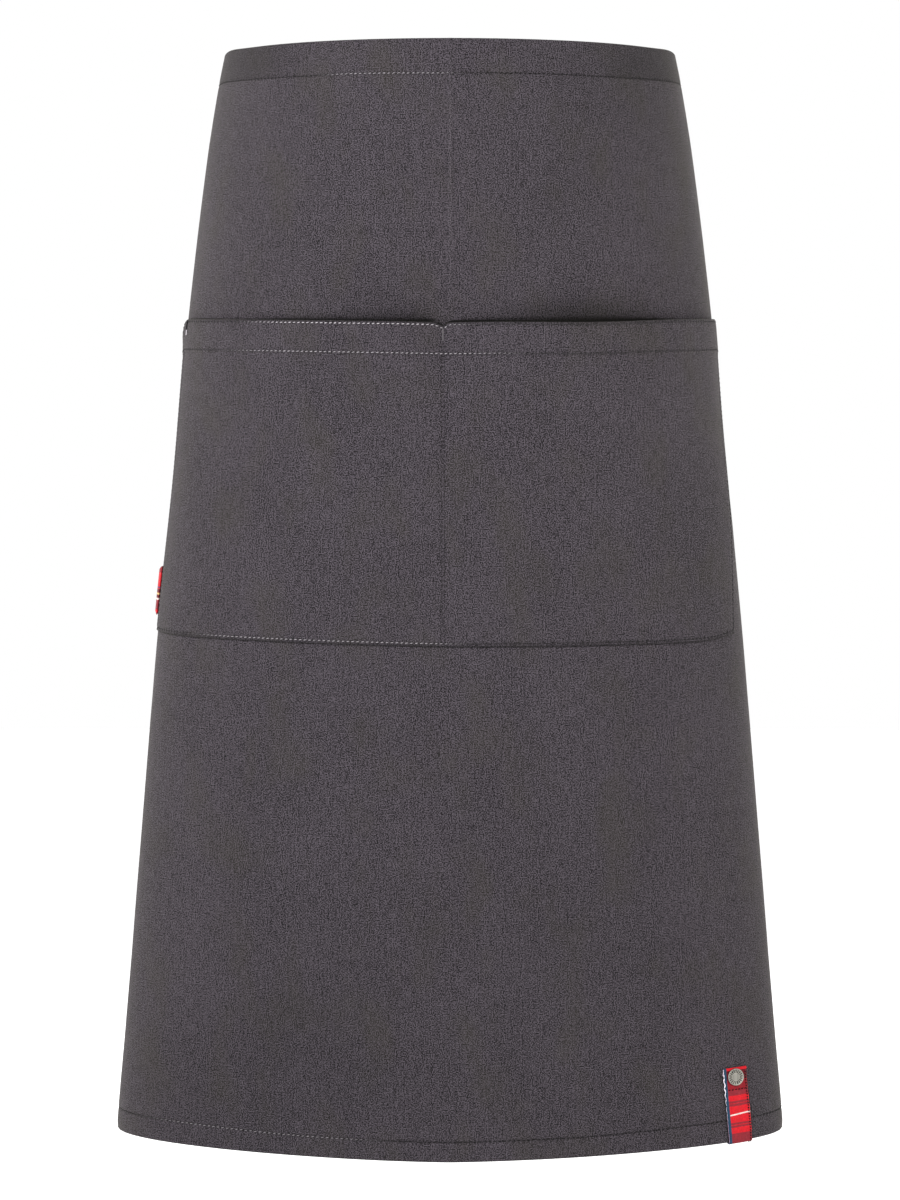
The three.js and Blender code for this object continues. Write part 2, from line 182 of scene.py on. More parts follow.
def read_table(rows, place):
    """The columns after the first at any places along the first, on a smooth curve through the rows."""
    table = np.array(rows, float)
    along, values = table[:, 0], table[:, 1:]
    last = len(along) - 1
    before = np.maximum(np.arange(last + 1) - 1, 0)
    after = np.minimum(np.arange(last + 1) + 1, last)
    slopes = (values[after] - values[before]) / (along[after] - along[before])[:, None]
    at = np.clip(place, along[0], along[last])
    low = np.clip(np.searchsorted(along, at, side="right") - 1, 0, last - 1)
    span = (along[low + 1] - along[low])[..., None]
    part = (at - along[low])[..., None] / span
    square, cube = part**2, part**3
    curve = values[low] * (2 * cube - 3 * square + 1) + slopes[low] * span * (cube - 2 * square + part)
    curve += values[low + 1] * (3 * square - 2 * cube) + slopes[low + 1] * span * (cube - square)
    return np.moveaxis(curve, -1, 0)


def lerp(start, end, part):
    return start + (end - start) * part


def smooth_step(start, end, value):
    part = np.clip((value - start) / (end - start), 0, 1)
    return part * part * (3 - 2 * part)


def spread(start, end, step):
    """Values from one end to the other, evenly spaced and no further apart than the step."""
    count = max(1, math.ceil(abs(end - start) / step))
    return np.linspace(start, end, count + 1)


def graded(lines, near=(0.0, 0.5, 1.1, 1.9, 3.0)):
    """Places close together on both sides of each line."""
    return [line + side * step for line in lines for step in near for side in (-1, 1)]


CLOSEST = 0.1


def joined(low, high, *lists):
    """All the values between two limits, in order and at least a tenth of a millimetre apart."""
    values = np.unique(np.concatenate([np.ravel(values) for values in (*lists, [low, high])]))
    values = values[(values >= low) & (values <= high)]
    kept = [values[0]]
    for value in values[1:-1]:
        if value - kept[-1] > CLOSEST and values[-1] - value > CLOSEST:
            kept.append(value)
    return np.array([*kept, values[-1]])


def edged(low, high, step, inset):
    """Evenly spaced values with one more close to each end."""
    return joined(low, high, spread(low, high, step), low + inset, high - inset)


def unit(vectors):
    return vectors / np.linalg.norm(vectors, axis=-1, keepdims=True)


def circle(sides):
    """Cosines and sines of evenly spaced angles."""
    turn = np.linspace(0, 2 * math.pi, sides, endpoint=False)
    return np.cos(turn), np.sin(turn)


# Worn cloth: half an ellipse in front of the widest line and half an ellipse behind it
ARC_STEPS = 360
TABLE_STEP = 2


def section_at(drop):
    """Half width, forward shift, front depth, back depth and side rise at these drops."""
    flare, front, seat, forward, rise = read_table(SECTIONS, np.asarray(drop, float) / APRON_LENGTH)
    shift = SIDE_FORWARD * forward
    return (
        lerp(WAIST_HALF_WIDTH, HEM_HALF_WIDTH, flare),
        shift,
        lerp(WAIST_DEPTH, HEM_FRONT_DEPTH, front) - shift,
        lerp(WAIST_DEPTH, SEAT_DEPTH, seat) + shift,
        SIDE_RISE * rise,
    )


def section_arcs(drop):
    """Arc length from the centre front at each angle step, and those angles."""
    half_width, shift, front, back, _ = section_at(drop)
    angles = np.linspace(0, math.pi, ARC_STEPS + 1)
    depth = np.where(np.cos(angles) > 0, front, back)
    x = half_width * np.sin(angles)
    y = -shift - depth * np.cos(angles)
    return np.concatenate([[0], np.cumsum(np.hypot(np.diff(x), np.diff(y)))]), angles


TABLE_DROPS = np.arange(0, APRON_LENGTH + TABLE_STEP, TABLE_STEP)
TABLE_ARCS = np.arange(0, 640, TABLE_STEP)
ARC_LISTS = [section_arcs(drop) for drop in TABLE_DROPS]
ANGLES = np.array([np.interp(TABLE_ARCS, arcs, angles) for arcs, angles in ARC_LISTS])
WIDEST = np.array([arcs[ARC_STEPS // 2] for arcs, _ in ARC_LISTS])
HALF_ROUND = np.array([arcs[-1] for arcs, _ in ARC_LISTS])
HALF_CLOTH = HALF_ROUND[0] - BACK_GAP / 2


def angle_at(arc, drop):
    """The angle at which the arc from the centre front has a given length."""
    row = np.clip(np.asarray(drop, float), 0, APRON_LENGTH) / TABLE_STEP
    column = np.clip(arc, 0, TABLE_ARCS[-1]) / TABLE_STEP
    top = np.minimum(row.astype(int), len(TABLE_DROPS) - 2)
    left = np.minimum(column.astype(int), len(TABLE_ARCS) - 2)
    down, right = row - top, column - left
    upper = lerp(ANGLES[top, left], ANGLES[top, left + 1], right)
    lower = lerp(ANGLES[top + 1, left], ANGLES[top + 1, left + 1], right)
    return lerp(upper, lower, down)


def cloth_point(across, drop, out=0.0):
    """Points of the worn cloth. out is the distance from its outer face, positive away from the body."""
    across, drop, out = np.broadcast_arrays(np.asarray(across, float), drop, out)
    half_width, shift, front, back, side_rise = section_at(drop)
    arc = np.abs(across)
    angle = angle_at(arc, drop)
    depth = np.where(np.cos(angle) > 0, front, back)
    sine, cosine = np.sin(angle), np.cos(angle)
    normal_x, normal_y = sine / half_width, -cosine / depth
    size = np.hypot(normal_x, normal_y)
    x = half_width * sine + out * normal_x / size
    y = -shift - depth * cosine + out * normal_y / size
    widest = np.interp(drop, TABLE_DROPS, WIDEST)
    rise = side_rise * np.minimum(arc / widest, RISE_END) ** RISE_CURVE
    return np.stack([np.sign(across) * x, y, rise - drop], axis=-1)


# Seams on the panel, as distances from the edges
TOP_STITCH = 25.2
TOP_STITCH_SAG = 1.1
BOTTOM_STITCH = 14.4
BOTTOM_STITCH_RISE = 1.5
SIDE_STITCH = 10.5
EDGE_STITCH = 2.4
MOUTH_STITCHES = (1.8, 22.3)
DIVIDER_STITCH = 1.2
SEAM_DIP = 0.35
SEAM_REACH = 1.5
CREASE_HEIGHT = 0.8
CREASE_REACH = 2.2
WAIST_CORNER = 198
WAIST_CORNER_RISE = 1.1
WAIST_CORNER_REACH = 22


def dip(distance, reach=SEAM_REACH):
    return np.exp(-((distance / reach) ** 2))


def side_swell(across, drop):
    """The sides stand out a little towards the hem, which curls in at its very edge."""
    aside = np.abs(across)
    swell = 0.55 * smooth_step(450, 650, drop) + 0.35 * smooth_step(730, 775, drop)
    curl = 0.7 * smooth_step(793, 800, drop)
    return (swell - curl) * smooth_step(190, 250, aside) * smooth_step(390, 330, aside)


def soft_folds(across, drop):
    total = np.zeros(np.broadcast(across, drop).shape) + side_swell(across, drop)
    for place, level, half_width, half_length, lean, height in SOFT_FOLDS:
        aside = (across - place - lean * (drop - level)) / half_width
        total += height * np.exp(-(aside**2) - ((drop - level) / half_length) ** 2)
    return total


def top_line(across):
    """Drop of the top hem's stitches, which sag a little to each side."""
    return TOP_STITCH + TOP_STITCH_SAG * smooth_step(60, 120, np.abs(across))


def hem_line(across):
    """Drop of the bottom hem's stitches, which rise a little to each side."""
    return APRON_LENGTH - BOTTOM_STITCH - BOTTOM_STITCH_RISE * smooth_step(90, 200, np.abs(across))


def tuck(across, drop):
    """How far the panel goes in behind the pocket's mouth."""
    (depth,) = read_table(TUCK, across)
    below = drop - POCKET_DROP
    return depth * smooth_step(-4.0, 3.0, below) * (1 - smooth_step(4, 45, below))


def panel_seams(across, drop):
    """Closeness to the seams that run across and to those that run down."""
    level = dip(drop - top_line(across)) + dip(hem_line(across) - drop)
    upright = dip(HALF_CLOTH - SIDE_STITCH - np.abs(across))
    return level + 0 * across, upright + 0 * drop


def panel_relief(across, drop):
    level, upright = panel_seams(across, drop)
    crease = CREASE_HEIGHT * dip(across, CREASE_REACH) * smooth_step(POCKET_DROP, POCKET_DROP - 30, drop)
    return soft_folds(across, drop) + crease - tuck(across, drop) - SEAM_DIP * np.maximum(level, upright)


def panel_point(across, drop, out=0.0):
    points = cloth_point(across, drop, out + panel_relief(across, drop))
    rise = WAIST_CORNER_RISE * dip(np.abs(across) - WAIST_CORNER, WAIST_CORNER_REACH)
    points[..., 2] += rise * (1 - smooth_step(0, 45, drop))
    return points


# Pocket: across runs from -1 at the left edge over 0 at the divider to 1 at the right edge
def pocket_down(drop):
    return (drop - POCKET_DROP) / POCKET_HEIGHT


def pocket_half(share, drop):
    """Distance on the cloth from the divider to the pocket's edge on this side."""
    down = pocket_down(drop)
    left = lerp(POCKET_LEFT_TOP, POCKET_LEFT_BOTTOM, down) + POCKET_DIVIDER
    right = lerp(POCKET_RIGHT_TOP, POCKET_RIGHT_BOTTOM, down) - POCKET_DIVIDER
    return np.where(share < 0, left, right)


def pocket_across(share, drop):
    return POCKET_DIVIDER + share * pocket_half(share, drop)


def pocket_stand(share, drop):
    left, right = read_table(MOUTH, np.abs(share))
    stand = np.where(share < 0, POCKET_GAPE_LEFT * left, POCKET_GAPE_RIGHT * right)
    return stand * np.clip(1 - pocket_down(drop), 0, 1) ** GAPE_CURVE


CORNER_START = 1 - 3 * MOUTH_CORNER / POCKET_LEFT_TOP
CORNER_OUT = 1.1
MOUTH_SAG = 1.5
MOUTH_SAG_PLACE = 105
MOUTH_SAG_REACH = 50


def pocket_drop(share, drop):
    down = pocket_down(drop)
    (lift,) = read_table(BOTTOM_SEAM, share)
    aside = share * pocket_half(share, drop)
    notch = DIVIDER_DIP * dip(aside, np.where(share < 0, NOTCH_LEFT, NOTCH_RIGHT) / 1.6)
    notch = notch * (1 - smooth_step(3, 15, drop - POCKET_DROP))
    sag = MOUTH_SAG * dip(aside - MOUTH_SAG_PLACE, MOUTH_SAG_REACH)
    notch = notch + sag * (1 - smooth_step(20, 120, drop - POCKET_DROP))
    corner = MOUTH_CORNER * np.maximum(0, (np.abs(share) - CORNER_START) / (1 - CORNER_START)) ** 1.5
    return drop - CORNER_LIFT * lift * down + (notch + corner) * (1 - down)


def pocket_insets(share, drop):
    """Distances from the pocket's top, its bottom and the side edge of this half."""
    from_top = drop - POCKET_DROP
    return from_top, POCKET_HEIGHT - from_top, (1 - np.abs(share)) * pocket_half(share, drop)


def pocket_seams(share, drop):
    from_top, from_bottom, from_side = pocket_insets(share, drop)
    from_divider = np.abs(share) * pocket_half(share, drop)
    level = dip(from_top - MOUTH_STITCHES[0]) + dip(from_top - MOUTH_STITCHES[1])
    level = level + dip(from_bottom - EDGE_STITCH)
    return level, dip(from_side - EDGE_STITCH) + dip(from_divider, 2 * DIVIDER_STITCH)


def pocket_point(share, drop, out=0.0):
    """Points of the pocket. out is the distance from its face on the panel's side."""
    share, drop = np.broadcast_arrays(np.asarray(share, float), drop)
    place = pocket_drop(share, drop)
    across = pocket_across(share, place)
    level, upright = pocket_seams(share, drop)
    sunk = SEAM_DIP * np.maximum(level, upright)
    corner = CORNER_OUT * smooth_step(-0.93, -0.985, share) * dip(drop - POCKET_DROP - 7, 8)
    lift = pocket_stand(share, drop) + np.maximum(soft_folds(across, place), 0) + corner - sunk
    return cloth_point(across, place, SEAM_GAP + lift + out)


# Painted shadow above the pocket's mouth: line is a narrow dark line just above it and glow a soft dark band
# that fades out, each with its height in millimetres
MOUTH_SHADE = [
    # across, line, line_height, glow, glow_height
    (-241, 0.66, 0.9, 0.00, 4),
    (-200, 0.70, 1.0, 0.00, 4),
    (-150, 0.74, 1.2, 0.00, 4),
    (-120, 0.80, 2.0, 0.12, 4),
    (-100, 0.60, 2.3, 0.18, 5),
    (-85, 0.52, 2.6, 0.25, 6),
    (-50, 0.40, 2.6, 0.40, 8),
    (-25, 0.42, 3.0, 0.48, 8),
    (-11, 1.00, 2.8, 0.36, 6),
    (-5, 0.72, 1.4, 0.00, 4),
    (1, 0.94, 2.2, 0.05, 4),
    (15, 0.98, 2.6, 0.12, 6),
    (30, 0.75, 2.8, 0.18, 8),
    (60, 0.54, 3.0, 0.38, 12),
    (90, 0.42, 4.4, 0.52, 15),
    (125, 0.50, 4.0, 0.46, 13),
    (155, 0.85, 2.4, 0.15, 8),
    (185, 0.75, 0.9, 0.00, 4),
    (243, 0.66, 0.8, 0.00, 4),
]

# Patches of painted shade on the cloth
SHADE_PATCHES = [
    # across, drop, half_width, half_length, strength
    (-95, 715, 60, 60, 0.12),
    (-190, 770, 90, 60, 0.10),
    (40, 640, 110, 90, 0.05),
    (130, 30, 80, 60, 0.13),
    (215, 150, 50, 90, 0.06),
    (-60, 180, 60, 30, 0.08),
]
# Painted shade on the ends of the top band
BAND_SHADE = 0.34
# Painted highlight along the press line down the centre front
PRESS_HIGHLIGHT = 0.055
# Painted shadow round the hem tab
TAB_SHADOW = 0.6
# Painted shade along the seams, and how far it reaches
SEAM_SHADE = 0.30
SEAM_SHADE_REACH = 0.9
# Painted shade along the pocket's folded edges, and how far it reaches
FOLD_SHADE = 0.75
FOLD_SHADE_REACH = 0.55


def mouth_edge(across):
    """Drop of the pocket's top edge at a place across."""
    aside = across - POCKET_DIVIDER
    share = aside / np.where(aside < 0, POCKET_LEFT_TOP + POCKET_DIVIDER, POCKET_RIGHT_TOP - POCKET_DIVIDER)
    return pocket_drop(np.clip(share, -1, 1), POCKET_DROP + 0 * share)


def panel_shade(across, drop):
    """Painted shade and shadow on the cloth, below zero for a painted highlight along the press line."""
    # Painted shadow above the pocket's mouth: a narrow dark line and a soft dark band over it
    line, line_height, glow, glow_height = read_table(MOUTH_SHADE, across)
    above = mouth_edge(across) - drop
    mouth = line * smooth_step(line_height, 0.35 * line_height, above)
    mouth = mouth + glow * dip(np.maximum(above, 0), glow_height)
    beyond = np.maximum(pocket_across(-1, drop) - across, across - pocket_across(1, drop))
    mouth = mouth * smooth_step(-60, -30, above) * smooth_step(0, -1.5, beyond)
    # Painted shade on the top band towards its ends
    band = BAND_SHADE * smooth_step(90, 170, np.abs(across)) * smooth_step(TOP_HEM, TOP_HEM - 2, drop)
    # Painted shade along the top and bottom hems' seams
    level = dip(drop - top_line(across), SEAM_SHADE_REACH)
    level = level + dip(hem_line(across) - drop, SEAM_SHADE_REACH)
    # Patches of painted shade
    shade_patches = sum(
        strength * np.exp(-(((across - place) / half_width) ** 2) - ((drop - level_at) / half_length) ** 2)
        for place, level_at, half_width, half_length, strength in SHADE_PATCHES
    )
    # Painted shadow beside the hem tab's sides
    beside_tab = np.abs(across - TAB_PLACE + TAB_LEAN * (APRON_LENGTH - drop)) - TAB_WIDTH / 2
    tab = TAB_SHADOW * dip(np.maximum(beside_tab, 0), 1.3) * (drop > APRON_LENGTH - TAB_HEIGHT)
    # Painted highlight along the press line, taken below zero
    highlight = PRESS_HIGHLIGHT * dip(across, 0.8) * smooth_step(8, 20, drop) * smooth_step(-6, -14, -above)
    return np.clip(mouth, 0, 1) + band + SEAM_SHADE * level + shade_patches + tab - highlight


def pocket_shade(share, drop):
    # Painted shade along the pocket's folded edges and its seams
    from_top, from_bottom, from_side = pocket_insets(share, drop)
    fold = dip(from_top, FOLD_SHADE_REACH) + dip(from_bottom, 2 * FOLD_SHADE_REACH)
    fold = fold + dip(from_side, FOLD_SHADE_REACH)
    seams = [from_top - line for line in MOUTH_STITCHES]
    seams += [from_bottom - EDGE_STITCH, from_side - EDGE_STITCH]
    seam = sum(dip(distance, SEAM_SHADE_REACH) for distance in seams)
    return FOLD_SHADE * np.minimum(fold, 1) + SEAM_SHADE * np.minimum(seam, 1)


# Meshes
def make_object(name, points, faces, material):
    mesh = bpy.data.meshes.new(name)
    mesh.from_pydata((np.asarray(points) * MM).tolist(), [], faces)
    mesh.validate()
    mesh.shade_smooth()
    mesh.materials.append(material)
    piece = bpy.data.objects.new(name, mesh)
    bpy.context.scene.collection.objects.link(piece)
    return piece


def add_values(piece, name, values):
    attribute = piece.data.attributes.new(name, "FLOAT", "POINT")
    attribute.data.foreach_set("value", np.ravel(values).astype(np.float32))


def add_map(piece, name, places):
    """A UV map that gives each corner its vertex's place."""
    layer = piece.data.uv_layers.new(name=name)
    corners = np.empty(len(piece.data.loops), np.int32)
    piece.data.loops.foreach_get("vertex_index", corners)
    layer.data.foreach_set("uv", places[corners].astype(np.float32).ravel())


def wall_faces(across, down):
    """Quads of a closed wall of two grids of points, the outer one first."""
    grid = np.arange(across * down).reshape(down, across)
    inner = grid + across * down
    quads = [
        np.stack([grid[1:, :-1], grid[1:, 1:], grid[:-1, 1:], grid[:-1, :-1]], -1),
        np.stack([inner[:-1, :-1], inner[:-1, 1:], inner[1:, 1:], inner[1:, :-1]], -1),
        np.stack([grid[0, :-1], grid[0, 1:], inner[0, 1:], inner[0, :-1]], -1),
        np.stack([inner[-1, :-1], inner[-1, 1:], grid[-1, 1:], grid[-1, :-1]], -1),
        np.stack([grid[:-1, 0], inner[:-1, 0], inner[1:, 0], grid[1:, 0]], -1),
        np.stack([inner[:-1, -1], grid[:-1, -1], grid[1:, -1], inner[1:, -1]], -1),
    ]
    return np.concatenate([part.reshape(-1, 4) for part in quads]).tolist()


BAKE_MAP = "OFBake"
CLOTH_MAP = "cloth"
BAKE_MARGIN = 0.01


def make_wall(name, columns, rows, place, material, cloth_places, seams=None, crease=None):
    """A closed wall. place(column, row, face) gives its points, with face 1 outside and 0 inside."""
    column, row = np.meshgrid(columns, rows)
    points = np.concatenate([place(column, row, face).reshape(-1, 3) for face in (1, 0)])
    piece = make_object(name, points, wall_faces(len(columns), len(rows)), material)
    cloth = np.stack(cloth_places(column, row), -1).reshape(-1, 2)
    add_map(piece, CLOTH_MAP, np.concatenate([cloth, cloth]))
    share_across = (column - columns[0]) / (columns[-1] - columns[0])
    share_down = (row - rows[0]) / (rows[-1] - rows[0])
    halves = [
        np.stack([(side + lerp(BAKE_MARGIN, 1 - BAKE_MARGIN, share_across)) / 2, 1 - share_down], -1)
        for side in (0, 1)
    ]
    add_map(piece, BAKE_MAP, np.concatenate([half.reshape(-1, 2) for half in halves]))
    if seams is not None:
        for key, values in zip(("seam_level", "seam_upright"), seams(column, row)):
            add_values(piece, key, np.concatenate([np.ravel(values), np.ravel(values)]))
    # The crease value is painted shade on the outer face, below zero a painted highlight
    if crease is not None:
        values = np.ravel(crease(column, row))
        add_values(piece, "crease", np.concatenate([values, 0 * values]))
    return piece


EDGE_ROUND = 1.1
EDGE_LEAST = 0.25
EDGE_PLACES = (0.0, 0.12, 0.4, 0.75, 1.2, 2.0)


def rounded(distance, reach=EDGE_ROUND):
    """Share of the wall's half thickness at a distance from its edge, for a rounded fold."""
    part = 1 - np.clip(distance / reach, 0, 1)
    return np.maximum(np.sqrt(1 - part**2), EDGE_LEAST)


def through_wall(wall, distance, face):
    """Place of a face between the outer one at 0 and the inner one at minus the wall, with round edges."""
    return -wall / 2 + (face - 0.5) * wall * rounded(distance)


# Node trees
class Shader:
    """A material's node tree, with one call for each node."""

    def __init__(self, name):
        self.material = bpy.data.materials.new(name)
        self.material.use_nodes = True
        self.tree = self.material.node_tree
        self.surface = self.tree.nodes["Principled BSDF"]

    def add(self, kind, settings=None, **inputs):
        node = self.tree.nodes.new(kind)
        for key, value in (settings or {}).items():
            setattr(node, key, value)
        for key, value in inputs.items():
            self.put(node, key, value)
        return node

    def put(self, node, key, value):
        name = key.replace("_", " ").strip()
        socket = node.inputs[int(name)] if name.isdigit() else node.inputs[name]
        if isinstance(value, bpy.types.NodeSocket):
            self.tree.links.new(value, socket)
        else:
            socket.default_value = value

    def math(self, operation, first, second=0.0, third=0.0):
        node = self.add("ShaderNodeMath", {"operation": operation}, _0=first, _1=second, _2=third)
        return node.outputs[0]

    def place(self, map_name, scale):
        """A UV map's place, with each direction scaled."""
        uv = self.add("ShaderNodeUVMap", {"uv_map": map_name}).outputs["UV"]
        return self.add("ShaderNodeMapping", Vector=uv, Scale=(*scale, 1)).outputs["Vector"]

    def body_place(self):
        """The place in the piece's own frame, in metres."""
        return self.add("ShaderNodeTexCoord").outputs["Object"]

    def cloth_place(self):
        """The two numbers of the place on the cloth, in millimetres."""
        split = self.add("ShaderNodeSeparateXYZ", Vector=self.place(CLOTH_MAP, (1, 1)))
        return split.outputs[0], split.outputs[1]

    def noise(self, vector, detail, scale=1.0):
        settings = {"noise_dimensions": "2D"}
        node = self.add(
            "ShaderNodeTexNoise", settings, Vector=vector, Scale=scale, Detail=detail, Roughness=0.5,
        )
        return node.outputs["Fac"]

    def mix(self, factor, first, second, blend="MIX"):
        settings = {"data_type": "RGBA", "blend_type": blend}
        return self.add("ShaderNodeMix", settings, _0=factor, _6=first, _7=second).outputs[2]

    def ramp(self, value, **ends):
        """A value from one range in another, each from 0 to 1 where no end is given."""
        return self.add("ShaderNodeMapRange", Value=value, **ends).outputs["Result"]

    def clamp(self, value):
        return self.add("ShaderNodeClamp", Value=value).outputs[0]

    def swing(self, value, amount):
        """How far a value is from one half, times an amount."""
        return self.math("MULTIPLY", self.math("SUBTRACT", value, 0.5), amount)

    def wave(self, place, length):
        return self.math("SINE", self.math("MULTIPLY", place, 2 * math.pi / length))

    def value(self, name):
        return self.add("ShaderNodeAttribute", {"attribute_name": name}).outputs["Fac"]

    def band(self, along, start, end, soft):
        """One between two places, with soft sides."""
        rising = self.ramp(along, From_Min=start - soft, From_Max=start + soft)
        falling = self.ramp(along, From_Min=end - soft, From_Max=end + soft, To_Min=1.0, To_Max=0.0)
        return self.math("MULTIPLY", rising, falling)

    def bump(self, height, distance, strength=1.0):
        node = self.add("ShaderNodeBump", Height=height, Distance=distance, Strength=strength)
        return node.outputs["Normal"]

    def finish(self, colour, roughness, normal=None, **fixed):
        self.put(self.surface, "Base_Color", colour)
        self.put(self.surface, "Roughness", roughness)
        if normal is not None:
            self.put(self.surface, "Normal", normal)
        for key, value in fixed.items():
            self.put(self.surface, key, value)
        return self.material


def srgb(red, green, blue):
    """A colour as seen, 0 to 255, in linear light."""
    parts = [value / 255 for value in (red, green, blue)]
    linear = [part / 12.92 if part <= 0.04045 else ((part + 0.055) / 1.055) ** 2.4 for part in parts]
    return (*linear, 1.0)


CLOTH_DARK = srgb(9, 7, 10)
CLOTH_LIGHT = srgb(80, 74, 82)
CLOTH_OLIVE = srgb(56, 53, 46)
# Colour of the painted shade
CLOTH_SHADE = srgb(3, 3, 3)
# Colour of the painted highlight along the press line
CLOTH_HIGHLIGHT = srgb(150, 143, 150)
YARN = 0.75
YARN_RELIEF = 0.10
TWILL_RELIEF = 0.02
PUCKER_RELIEF = 0.12

# Layers of the mixed yarns: cell width and height in millimetres, detail, and weight
YARN_LAYERS = [
    (0.80, 0.90, 1.0, 3.25),
    (0.9, 9.0, 1.0, 0.80),
    (7.0, 0.8, 1.0, 0.45),
    (1.6, 60.0, 1.0, 0.22),
    (55.0, 80.0, 2.0, 0.20),
]


def cloth_material(name):
    """Two-tone wool-look twill: dark and light yarns, slubs along the warp and puckers beside the seams, with
    painted shade and a painted highlight from the crease value.
    """
    shader = Shader(name)
    total = 0.5
    for width, height, detail, weight in YARN_LAYERS:
        layer = shader.noise(shader.place(CLOTH_MAP, (1 / width, 1 / height)), detail)
        total = shader.math("ADD", total, shader.swing(layer, weight))
    clamped = shader.clamp(total)
    colour = shader.mix(clamped, CLOTH_DARK, CLOTH_LIGHT)
    patch = shader.noise(shader.place(CLOTH_MAP, (1 / 35, 1 / 60)), 3.0)
    olive = shader.ramp(patch, From_Min=0.5, From_Max=0.75, To_Max=0.3)
    colour = shader.mix(olive, colour, CLOTH_OLIVE)
    # The crease value mixes in painted shade and shadow
    crease = shader.value("crease")
    colour = shader.mix(crease, colour, CLOTH_SHADE)
    # Below zero the crease value mixes in the painted highlight
    colour = shader.mix(shader.math("MULTIPLY", crease, -1.0), colour, CLOTH_HIGHLIGHT)
    across, down = shader.cloth_place()
    twill = shader.wave(shader.math("ADD", across, down), YARN)
    pucker_level = shader.math("MULTIPLY", shader.value("seam_level"), shader.wave(across, STITCH_PITCH))
    pucker_upright = shader.math("MULTIPLY", shader.value("seam_upright"), shader.wave(down, STITCH_PITCH))
    pucker = shader.math("ADD", pucker_level, pucker_upright)
    height = 0.0
    for relief, weight in ((clamped, YARN_RELIEF), (twill, TWILL_RELIEF), (pucker, PUCKER_RELIEF)):
        height = shader.math("ADD", height, shader.math("MULTIPLY", relief, weight))
    roughness = shader.ramp(clamped, To_Min=0.95, To_Max=0.82)
    return shader.finish(
        colour, roughness, shader.bump(height, MM), Sheen_Weight=0.15, Sheen_Roughness=0.45,
        Sheen_Tint=srgb(230, 225, 215), Specular_IOR_Level=0.25,
    )


# The thread is mixed from painted shade to its light colour; the glint tones paint its highlights
THREAD_SHADE = srgb(14, 12, 14)
THREAD_LIGHT = srgb(226, 220, 228)
THREAD_GRAIN = 1600.0
THREAD_RELIEF = 0.1 * MM


def thread_material(name, dark, light):
    """Sewing thread, mixed by its tone from painted shade to its light colour, with painted shade at the
    needle holes at the ends of each stitch.
    """
    shader = Shader(name)
    grain = shader.noise(shader.body_place(), 2.0, THREAD_GRAIN)
    uneven = shader.ramp(grain, To_Min=0.6, To_Max=1.4)
    colour = shader.mix(shader.clamp(shader.math("MULTIPLY", shader.value("tone"), uneven)), dark, light)
    normal = shader.bump(grain, THREAD_RELIEF)
    return shader.finish(colour, 0.6, normal, Sheen_Weight=0.03, Specular_IOR_Level=0.15)


CLOTH = cloth_material("cloth_grey_twill")
STITCH = thread_material("thread_grey", THREAD_SHADE, THREAD_LIGHT)


# Stitches
RING_PLACES = np.array([-1.0, -0.62, 0.0, 0.62, 1.0])
RING_LIFTS = np.array([-0.5, 0.45, 0.8, 0.45, -0.5])
RING_SIZES = np.array([0.75, 1.0, 1.05, 1.0, 0.75])
# Ring tones paint shade at the needle holes at the ends of each stitch
RING_TONES = np.array([0.0, 0.75, 1.0, 0.75, 0.0])
RING_SIDES = 6
THREAD_FLAT = 0.8
STITCH_SLANT = 0.22
FRAME_REACH = 0.5


def tube_faces(tubes, rings, sides):
    """Quads and end caps of many closed tubes, each with the same rings."""
    ring = np.arange(sides)
    after = (ring + 1) % sides
    quads = []
    for step in range(rings - 1):
        low, high = step * sides, (step + 1) * sides
        quads.append(np.stack([low + ring, low + after, high + after, high + ring], -1))
    quads = np.concatenate(quads)
    offsets = (np.arange(tubes) * rings * sides)[:, None]
    faces = (quads[None] + offsets[..., None]).reshape(-1, 4).tolist()
    faces += (ring[::-1][None] + offsets).tolist()
    faces += ((rings - 1) * sides + ring[None] + offsets).tolist()
    return faces


def surface_frame(place, first, second, out):
    """Point and direction away from the cloth."""
    middle = place(first, second, out)
    sideways = place(first + place.step, second, out) - place(first - place.step, second, out)
    upward = place(first, second - FRAME_REACH, out) - place(first, second + FRAME_REACH, out)
    return middle, unit(np.cross(sideways, upward))


panel_point.step = FRAME_REACH


def stitch_run(place, first, second, out, glint, face=1, pitch=STITCH_PITCH, thread=THREAD):
    """Points and tones of a row of stitches along a path on a surface. face is -1 on the cloth's inside."""
    first, second = np.broadcast_arrays(np.asarray(first, float), np.asarray(second, float))
    path = place(first, second, out)
    length = np.concatenate([[0], np.cumsum(np.linalg.norm(np.diff(path, axis=0), axis=1))])
    count = max(1, int(length[-1] / pitch))
    centres = (np.arange(count) + 0.5) * length[-1] / count
    reach = STITCH_LENGTH / STITCH_PITCH * pitch / 2
    along = centres[:, None] + RING_PLACES[None] * reach
    at_first = np.interp(along, length, first)
    at_second = np.interp(along, length, second)
    middle, normal = surface_frame(place, at_first, at_second, out)
    normal = normal * face
    beside = np.cross(normal, unit(np.gradient(middle, axis=1)))
    middle = middle + normal * (RING_LIFTS * thread)[None, :, None]
    middle = middle + beside * (RING_PLACES * STITCH_SLANT)[None, :, None]
    cosine, sine = (part[:, None] for part in circle(RING_SIDES))
    size = (RING_SIZES * thread)[None, :, None, None]
    rings = middle[:, :, None] + size * (
        cosine * beside[:, :, None] + THREAD_FLAT * sine * normal[:, :, None]
    )
    tones = RING_TONES[None, :, None] * glint(at_first, at_second)[:, :, None] * np.ones(RING_SIDES)
    return rings.reshape(-1, 3), tones.ravel(), count


